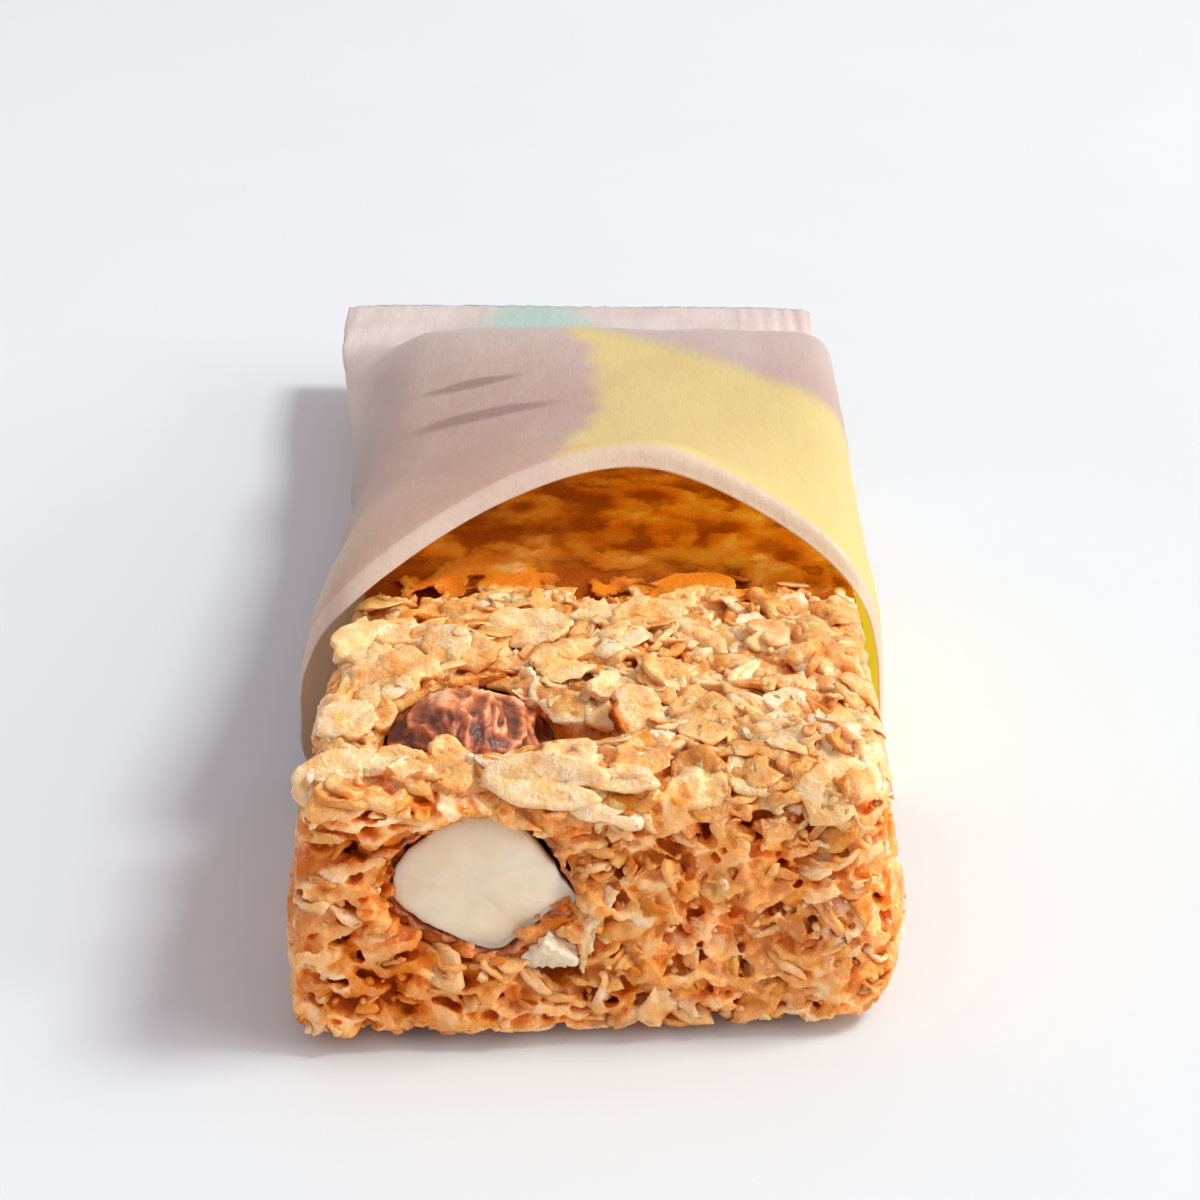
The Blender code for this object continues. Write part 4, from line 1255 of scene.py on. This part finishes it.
# ridge colours: dark in the grooves as painted shade, pale on the crests, partly dust and partly painted
# highlight
brown = colour_ramp(tree, calculate(tree, "MULTIPLY_ADD", tone, 0.5, ridge),
                    [(0.15, (0.11, 0.022, 0.010)), (0.5, (0.40, 0.095, 0.028)),
                     (0.8, (0.78, 0.25, 0.085)), (1.0, (0.98, 0.50, 0.28))])
tree.links.new(brown, shader.inputs["Base Color"])
tree.links.new(use_group(tree, GRAIN, {"Place": space, "Depth": 0.06})["Normal"],
               shader.inputs["Normal"])
set_shader(shader, Roughness=0.45, Subsurface_Weight=0.15, Subsurface_Scale=0.0008,
           Subsurface_Radius=(1.0, 0.3, 0.15), Coat_Weight=0.12, Coat_Roughness=0.25)

outline = closed_curve([(1.03 * x, 1.03 * z, 0.0) for x, z in CUT_OUTLINE], 8)
for corner in outline:
    corner *= 1 + 0.022 * noise.fractal(corner * 1.1, 0.9, 2.0, 2)
kernel = nut_body(outline, "cut_kernel", kernel_material)
finish(kernel, "almond_front", slot="almond_kernel")


# %% Skin left round the cut
def skin_rim():
    """A papery band round the kernel, torn along its front edge and lifting off in places."""
    bm = bmesh.new()
    rings = []
    count = len(outline)
    for step, depth in enumerate((0.0, 0.35, 0.9, 1.8, 3.0)):
        ring = []
        for index, p in enumerate(outline):
            angle = Vector((p.x, p.y, 0)).normalized()
            torn = noise.noise(Vector((angle.x * 2.3, angle.y * 2.3, 1.0))) + 0.6 * noise.noise(
                Vector((p.x * 1.8, p.y * 1.8, 4.0)))
            upper_right = float(smooth_step(0.5, 3.5, 0.6 * p.x + p.y))
            peel = max(torn + 0.35 * upper_right, 0.0) * (1.0 if p.y > -1 else 0.7)
            lift = 0.12 + (0.75 * peel + 0.10) * (1 - step / 4) ** 1.5
            front = (0.0 - 0.8 * torn - 0.5 * upper_right) * (1 - step / 4)
            round_off = math.sqrt(1 - (depth / (NUT_DEPTH + 0.8)) ** 2)
            out = (p.length + lift) / max(p.length, 0.1) * round_off
            ring.append(bm.verts.new((p.x * out, 0.15 + depth + front * 0.7, p.y * out)))
        rings.append(ring)
    bridge(bm, rings)
    bmesh.ops.transform(bm, matrix=nut_place, verts=bm.verts)
    bmesh.ops.recalc_face_normals(bm, faces=bm.faces)
    rim = object_from_bmesh("skin_rim", bm, skin_material)
    wall = rim.modifiers.new("paper", "SOLIDIFY")
    wall.thickness = 0.30
    keep_result(rim)
    set_attribute(rim.data, "ridge", [0.42] * len(rim.data.vertices))
    return rim


finish(skin_rim(), slot="almond_skin")

# %% Oats pressed against the kernel
rng = random.Random(12)
bm = bmesh.new()
for _ in range(150):
    corner = outline[rng.randrange(len(outline))]
    open_side = corner.x > 0.3 and corner.y > 0.9       # a dark gap stays open here
    out = 1 + (rng.uniform(0.30, 0.42) if open_side else rng.uniform(0.08, 0.26))
    at = nut_place @ Vector((corner.x * out, rng.uniform(0.3, 1.4), corner.y * out))
    if rng.random() < 0.55:
        set_oat(bm, rng, at.x, at.y - FRONT, at.z, rng.uniform(1.3, 2.6), rng.uniform(0.9, 1.6),
                rng.uniform(0.4, 0.7), rng.uniform(-40, 40), rng.uniform(-30, 60),
                rng.uniform(-30, 30), tone=rng.uniform(0.1, 0.9), ragged=0.25, curl=0.3, around=18)
    else:
        set_crumb(bm, rng, at.x, at.y - FRONT, at.z, rng.uniform(0.5, 1.2), rng.uniform(0.2, 1.0))
nut_crumbs = object_from_bmesh("nut_crumbs", bm, flake_material)
count = len(nut_crumbs.data.vertices)
set_attribute(nut_crumbs.data, "depth", [0.4] * count)
set_attribute(nut_crumbs.data, "soaked", [0.9] * count)
finish(nut_crumbs)


# %% Broken chip
def broken_chip(name, centre, sizes, material, seed):
    """A corner of kernel: a ball cut flat by a few planes, with a crumbly surface."""
    bm = bmesh.new()
    bmesh.ops.create_icosphere(bm, subdivisions=5, radius=1.0)
    rng = random.Random(seed)
    planes = [(Vector([rng.uniform(-1, 1) for _ in range(3)]).normalized(), rng.uniform(0.5, 0.8))
              for _ in range(9)]
    for vert in bm.verts:
        direction = vert.co.normalized()
        reach = min([1.0] + [limit / direction.dot(n) for n, limit in planes
                             if direction.dot(n) > 0.05])
        crumbly = 1 + 0.24 * noise.fractal(direction * 2.6 + Vector((seed, 0, 0)), 0.75, 2.0, 4)
        vert.co = direction * reach * crumbly
    bmesh.ops.scale(bm, vec=sizes, verts=bm.verts)
    bmesh.ops.translate(bm, vec=centre, verts=bm.verts)
    return object_from_bmesh(name, bm, material)


chip = broken_chip("kernel_chip", (-2.75, FRONT - 1.1, 6.1), (1.9, 1.4, 1.7), kernel_material, 9)
finish(chip, "almond_chip", slot="almond_kernel")

# %% [markdown]
# ## The whole almond on top
# It is sunk in the top, its blunt end forward. The skin dried on the kernel and wrinkled along
# it, so the ridges run from end to end, wander, and fork. The ridge height is kept as an
# attribute: the finish paints dust and a painted highlight on the crests and painted shade in
# the grooves, and the left side, away from the light, is painted darker.

# %% Whole almond
def whole_almond():
    length, width, thickness = 19.0, 11.6, 8.2
    around, along = 220, 120
    bm = bmesh.new()
    ridge_layer = bm.verts.layers.float.new("ridge")
    slant = Euler((math.radians(-45), math.radians(10), math.radians(-10))).to_matrix()
    rings = []
    for n in range(along):
        station = math.sin(math.pi / 2 * 0.994 * (2 * n / (along - 1) - 1))
        radius = (1 - station ** 2) ** 0.52 * (1 + 0.16 * station)
        ring = []
        for i in range(around):
            angle = 2 * math.pi * i / around
            lens = 1 - 0.18 * math.cos(angle) ** 4
            p = Vector((-width / 2 * radius * math.cos(angle), -station * length / 2,
                        thickness / 2 * radius * lens * math.sin(angle)))
            outward = Vector((p.x, 0.35 * p.y, 1.6 * p.z)).normalized()
            wander = 0.6 * Vector(noise.noise_vector(p / 3.2 + Vector((5, 1, 2))))
            leaned = slant @ p
            along_it = Vector((leaned.x / 1.25, leaned.y / 4.6, leaned.z / 1.6)) + wander
            ridged = 1 - abs(2.2 * noise.noise(along_it))
            finer = 1 - abs(2.2 * noise.noise(along_it * 2.3 + Vector((9, 4, 1))))
            lumps = noise.noise(p / 2.6 + Vector((1, 7, 3)))
            rough = noise.fractal(p / 0.7, 0.9, 2.0, 2)
            out = 0.34 * ridged + 0.14 * finer + 0.45 * lumps + 0.07 * rough - 0.25
            vert = bm.verts.new(p + outward * out)
            # painted shade: the left side's ridge value is lowered, so its skin is painted darker
            shaded_side = float(smooth_step(-0.5, -4.5, p.x))
            vert[ridge_layer] = min(max(0.62 * ridged + 0.25 * finer + 0.5 * lumps + 0.25 * rough
                                        - 0.14 - 0.34 * shaded_side, 0.0), 1.0)
            ring.append(vert)
        rings.append(ring)
    bridge(bm, rings)
    fan(bm, rings[0], (0, length / 2, 0))
    fan(bm, rings[-1], (0, -length / 2, 0))
    bmesh.ops.recalc_face_normals(bm, faces=bm.faces)
    turn = (Matrix.Translation((-8.7, FRONT + 13.5, 11.2)) @ Matrix.Rotation(math.radians(-32), 4, "X"))
    bmesh.ops.transform(bm, matrix=turn, verts=bm.verts)
    return object_from_bmesh("whole_almond", bm, skin_material)


finish(whole_almond(), "almond_top", slot="almond_skin")

# %% [markdown]
# ## The film
# A flow-wrap film is one thin sheet rolled into a tube, sealed flat at the rear and torn open at
# the front. It hugs the bar on the right, stands off on the left and arches over the top. The
# sheet is a loft: closed sections at a few distances, joined by smooth curves from front to
# rear. Soft folds are moved in afterwards, and the film gets its real, very small, thickness.

# %% Film sections
LOW, MIDDLE, FLOOR = 0.95, 8.5, 0.05
INSET = 0.9
MOUTH = [(-22.6, 31.0, LOW), (-22.2, 27.8, MIDDLE), (-18.8, 24.6, 16.9), (-8.0, 31.0, 22.8),
         (2.0, 34.3, 24.4), (11.6, 32.0, 21.6), (18.1, 28.6, 16.8), (19.6, 28.6, MIDDLE),
         (19.5, 29.0, LOW), (19.5 - INSET, 29.0, FLOOR), (0.0, 28.0, FLOOR),
         (-22.6 + INSET, 31.0, FLOOR)]


def film_sections():
    # the mouth's edge is turned in like a lip
    lip = [(0.985 * x, y - 0.1, z - 1.0 * float(smooth_step(8.0, 17.0, z))) for x, y, z in MOUTH]
    crest = [(x, y + 1.1, z + 0.12 * float(smooth_step(8.0, 17.0, z))) for x, y, z in MOUTH]
    sections = [lip, crest]
    for y, foot, crease, shoulder, top, side in (
            (42.0, -22.0, -22.1, 16.9, 22.5, 19.6), (56.0, -21.8, -22.0, 16.8, 20.3, 19.4),
            (70.0, -22.0, -23.5, 16.8, 18.8, 19.3), (82.0, -21.2, -25.2, 16.8, 17.9, 19.2)):
        rise = top - shoulder
        sections.append([
            (foot, y, LOW), (crease, y, MIDDLE), (-18.7, y, shoulder),
            (-9.0, y, shoulder + 0.8 * rise), (1.0, y, top), (11.0, y, shoulder + 0.75 * rise),
            (18.0, y, shoulder), (side, y, MIDDLE), (side, y, LOW), (side - INSET, y, FLOOR),
            (0.0, y, FLOOR), (foot + INSET, y, FLOOR)])
    for y, left, right, half in ((93.0, -27.2, 19.1, 4.7), (103.5, -28.7, 18.8, 0.32),
                                 (110.0, -29.3, 18.9, 0.28), (116.3, -29.6, 18.9, 0.28)):
        sections.append([(left + share * (right - left), y, MIDDLE + rise * half)
                         for share, rise in ((0.10, -0.75), (0.0, 0.0), (0.16, 0.9), (0.39, 1.0),
                                             (0.61, 1.0), (0.82, 1.0), (0.95, 0.7), (1.0, 0.0),
                                             (0.97, -0.6), (0.90, -0.9), (0.55, -1.0),
                                             (0.20, -1.0))])
    return sections


def film_sheet():
    lines = [open_curve(list(line), 12) for line in zip(*film_sections())]
    bm = bmesh.new()
    hem_layer = bm.verts.layers.float.new("hem")
    rings = []
    for keys in zip(*lines):
        loop = closed_curve(list(keys), 12)
        rings.append([bm.verts.new((p.x, FRONT + p.y, max(p.z, FLOOR))) for p in loop])
    for n, ring in enumerate(rings):
        for i, vert in enumerate(ring):
            mouth = rings[0][i].co
            hem_width = 1.25 + 0.55 * float(smooth_step(12.0, 22.0, mouth.z))
            vert[hem_layer] = (vert.co - mouth).length / hem_width
    bridge(bm, rings)
    fan(bm, rings[-1], ((-29.6 + 18.9) / 2, FRONT + 116.35, MIDDLE))
    bmesh.ops.recalc_face_normals(bm, faces=bm.faces)
    bm.normal_update()
    for vert in bm.verts:
        inward = behind_front(vert.co.y)
        loose = float(smooth_step(30.0, 40.0, inward)) * (1 - float(smooth_step(98, 104, inward)))
        above = float(smooth_step(2.0, 7.0, vert.co.z))
        left = float(smooth_step(-10.0, -19.0, vert.co.x))
        place_ = Vector((vert.co.x / 7.0, vert.co.y / 16.0, vert.co.z / 7.0))
        folds = noise.noise(place_ + Vector((3.3, 0, 0)))
        small = noise.fractal(vert.co / 4.5, 0.9, 2.0, 2)
        amount = above * (0.25 + 0.5 * left + 0.35 * loose)
        amount *= 1 - 0.93 * float(smooth_step(94, 103, inward))
        vert.co += vert.normal * amount * (0.55 * folds + 0.16 * small - 0.05)
        crimp = float(smooth_step(104, 106, inward))
        vert.co.z += crimp * 0.10 * math.sin(2 * math.pi * vert.co.x / 1.6)
    return bm


def soft_spot(tree, split, centre, half_sizes, turn=0.0, softness=0.35):
    """1 inside a turned ellipse on the film's top, fading out at its edge."""
    x = calculate(tree, "SUBTRACT", split["X"], centre[0])
    y = calculate(tree, "SUBTRACT", split["Y"], centre[1])
    c, s_ = math.cos(math.radians(turn)), math.sin(math.radians(turn))
    u = calculate(tree, "MULTIPLY_ADD", y, s_ / half_sizes[0],
                  calculate(tree, "MULTIPLY", x, c / half_sizes[0]))
    v = calculate(tree, "MULTIPLY_ADD", y, c / half_sizes[1],
                  calculate(tree, "MULTIPLY", x, -s_ / half_sizes[1]))
    radius = calculate(tree, "SQRT", calculate(tree, "ADD", calculate(tree, "MULTIPLY", u, u),
                                               calculate(tree, "MULTIPLY", v, v)))
    return remap(tree, radius, 1 + softness, 1 - softness)


def film_finish(name, ground_front, ground_rear, sun, shine_ground, shine_sun, hem_colour,
                through, sun_from=0.2, spots=0.0):
    """A frosted, printed film: it scatters light back, and lets tinted light through."""
    material, tree, shader = new_material(name)
    space = use_group(tree, MILLIMETRES)["Place"]
    split = place(tree, "ShaderNodeSeparateXYZ", {"Vector": space}).outputs
    mottle = use_group(tree, MOTTLE, {"Place": space, "Size": 9.0})["Tone"]
    rearward = remap(tree, calculate(tree, "MULTIPLY_ADD", mottle, 9.0, split["Y"]), 0.0, 52.0)
    ground = blend_colours(tree, rearward, ground_front, ground_rear)
    ground = blend_colours(tree, calculate(tree, "MULTIPLY", mottle, 0.35), ground,
                           tuple(0.82 * c for c in ground_front))
    waver = noise_texture(tree, space, 0.07, detail=2.0)
    edge = calculate(tree, "MULTIPLY_ADD", waver, 9.0, split["X"])
    reach = calculate(tree, "MULTIPLY_ADD", split["X"], 0.9, split["Y"])
    sunny = calculate(tree, "MULTIPLY", remap(tree, edge, sun_from, sun_from + 2.4),
                      remap(tree, reach, 24.0, 18.0))
    colour = blend_colours(tree, sunny, ground, sun)
    leaf = soft_spot(tree, split, (-9.0, 44.0), (6.0, 17.0), 4)
    colour = blend_colours(tree, calculate(tree, "MULTIPLY", leaf, 0.75), colour, (0.46, 0.92, 0.84))
    for centre, sizes, turn in (((-10.5, -3.0), (5.5, 1.5), 16), ((-12.5, 6.5), (4.0, 1.2), 16)):
        stroke = soft_spot(tree, split, centre, sizes, turn)
        colour = blend_colours(tree, calculate(tree, "MULTIPLY", stroke, 0.6), colour,
                               (0.20, 0.17, 0.17))
    if spots:                                   # dark brown blotches, stronger lower down, near the bar
        dark_blotch = noise_texture(tree, vector_math(tree, "MULTIPLY", space, (1.0, 0.3, 1.0)), 0.30,
                               detail=0.0)
        low = remap(tree, split["Z"], 23.5, 18.0, 0.25, 1.0)
        blotch_share = calculate(tree, "MULTIPLY", low, remap(tree, dark_blotch, 0.58, 0.72, 0.0, spots))
        colour = blend_colours(tree, blotch_share, colour,
                               (0.30, 0.10, 0.01))
    hem = remap(tree, attribute(tree, "hem"), 1.08, 0.92, 0.0, 0.8)
    colour = blend_colours(tree, hem, colour, hem_colour)
    tree.links.new(colour, shader.inputs["Base Color"])
    set_shader(shader, Roughness=0.34, Specular_IOR_Level=0.45)
    stretched = vector_math(tree, "MULTIPLY", space, (0.55, 0.16, 0.4))
    creases = noise_texture(tree, stretched, 1.0, detail=4.0, roughness=0.6)
    bump = place(tree, "ShaderNodeBump", {"Height": creases, "Strength": 1.0,
                                          "Distance": 0.0001 if spots else 0.0002})
    tree.links.new(bump.outputs["Normal"], shader.inputs["Normal"])
    tint = blend_colours(tree, sunny, shine_ground, shine_sun)
    tint = blend_colours(tree, hem, tint, hem_colour)
    lit = place(tree, "ShaderNodeBsdfTranslucent", {"Color": tint, "Normal": bump.outputs["Normal"]})
    half_way = place(tree, "ShaderNodeMixShader", {"Fac": through})
    tree.links.new(shader.outputs[0], half_way.inputs[1])
    tree.links.new(lit.outputs[0], half_way.inputs[2])
    clear = place(tree, "ShaderNodeBsdfTransparent", {"Color": (1, 1, 1, 1)})
    film_mix = place(tree, "ShaderNodeMixShader", {"Fac": 0.08})
    tree.links.new(half_way.outputs[0], film_mix.inputs[1])
    tree.links.new(clear.outputs[0], film_mix.inputs[2])
    tree.links.new(film_mix.outputs[0], tree.nodes["Material Output"].inputs["Surface"])
    return material


outside_material = film_finish("printed_film", (0.69, 0.57, 0.51), (1.0, 0.99, 0.98),
                               (1.0, 0.89, 0.37), (0.95, 0.80, 0.68), (1.0, 0.86, 0.10),
                               (0.93, 0.82, 0.73), through=0.36)
# the inside is painted amber all over: partly the print seen from behind, partly painted light, the glow of
# light come through the yellow print
inside_material = film_finish("film_inside", (0.62, 0.42, 0.28), (0.95, 0.62, 0.10),
                              (1.0, 0.84, 0.05), (0.95, 0.74, 0.46), (1.0, 0.93, 0.09),
                              (0.92, 0.76, 0.56), through=0.90, sun_from=-15.0, spots=0.85)

film = object_from_bmesh("film", film_sheet(), outside_material)
wall = film.modifiers.new("film_thickness", "SOLIDIFY")
wall.thickness = 0.10
wall.offset = 1.0
wall.material_offset = 1
film.data.materials.append(inside_material)
keep_result(film)
film.data.shade_smooth()
finish(film, "wrapper", slot="film")
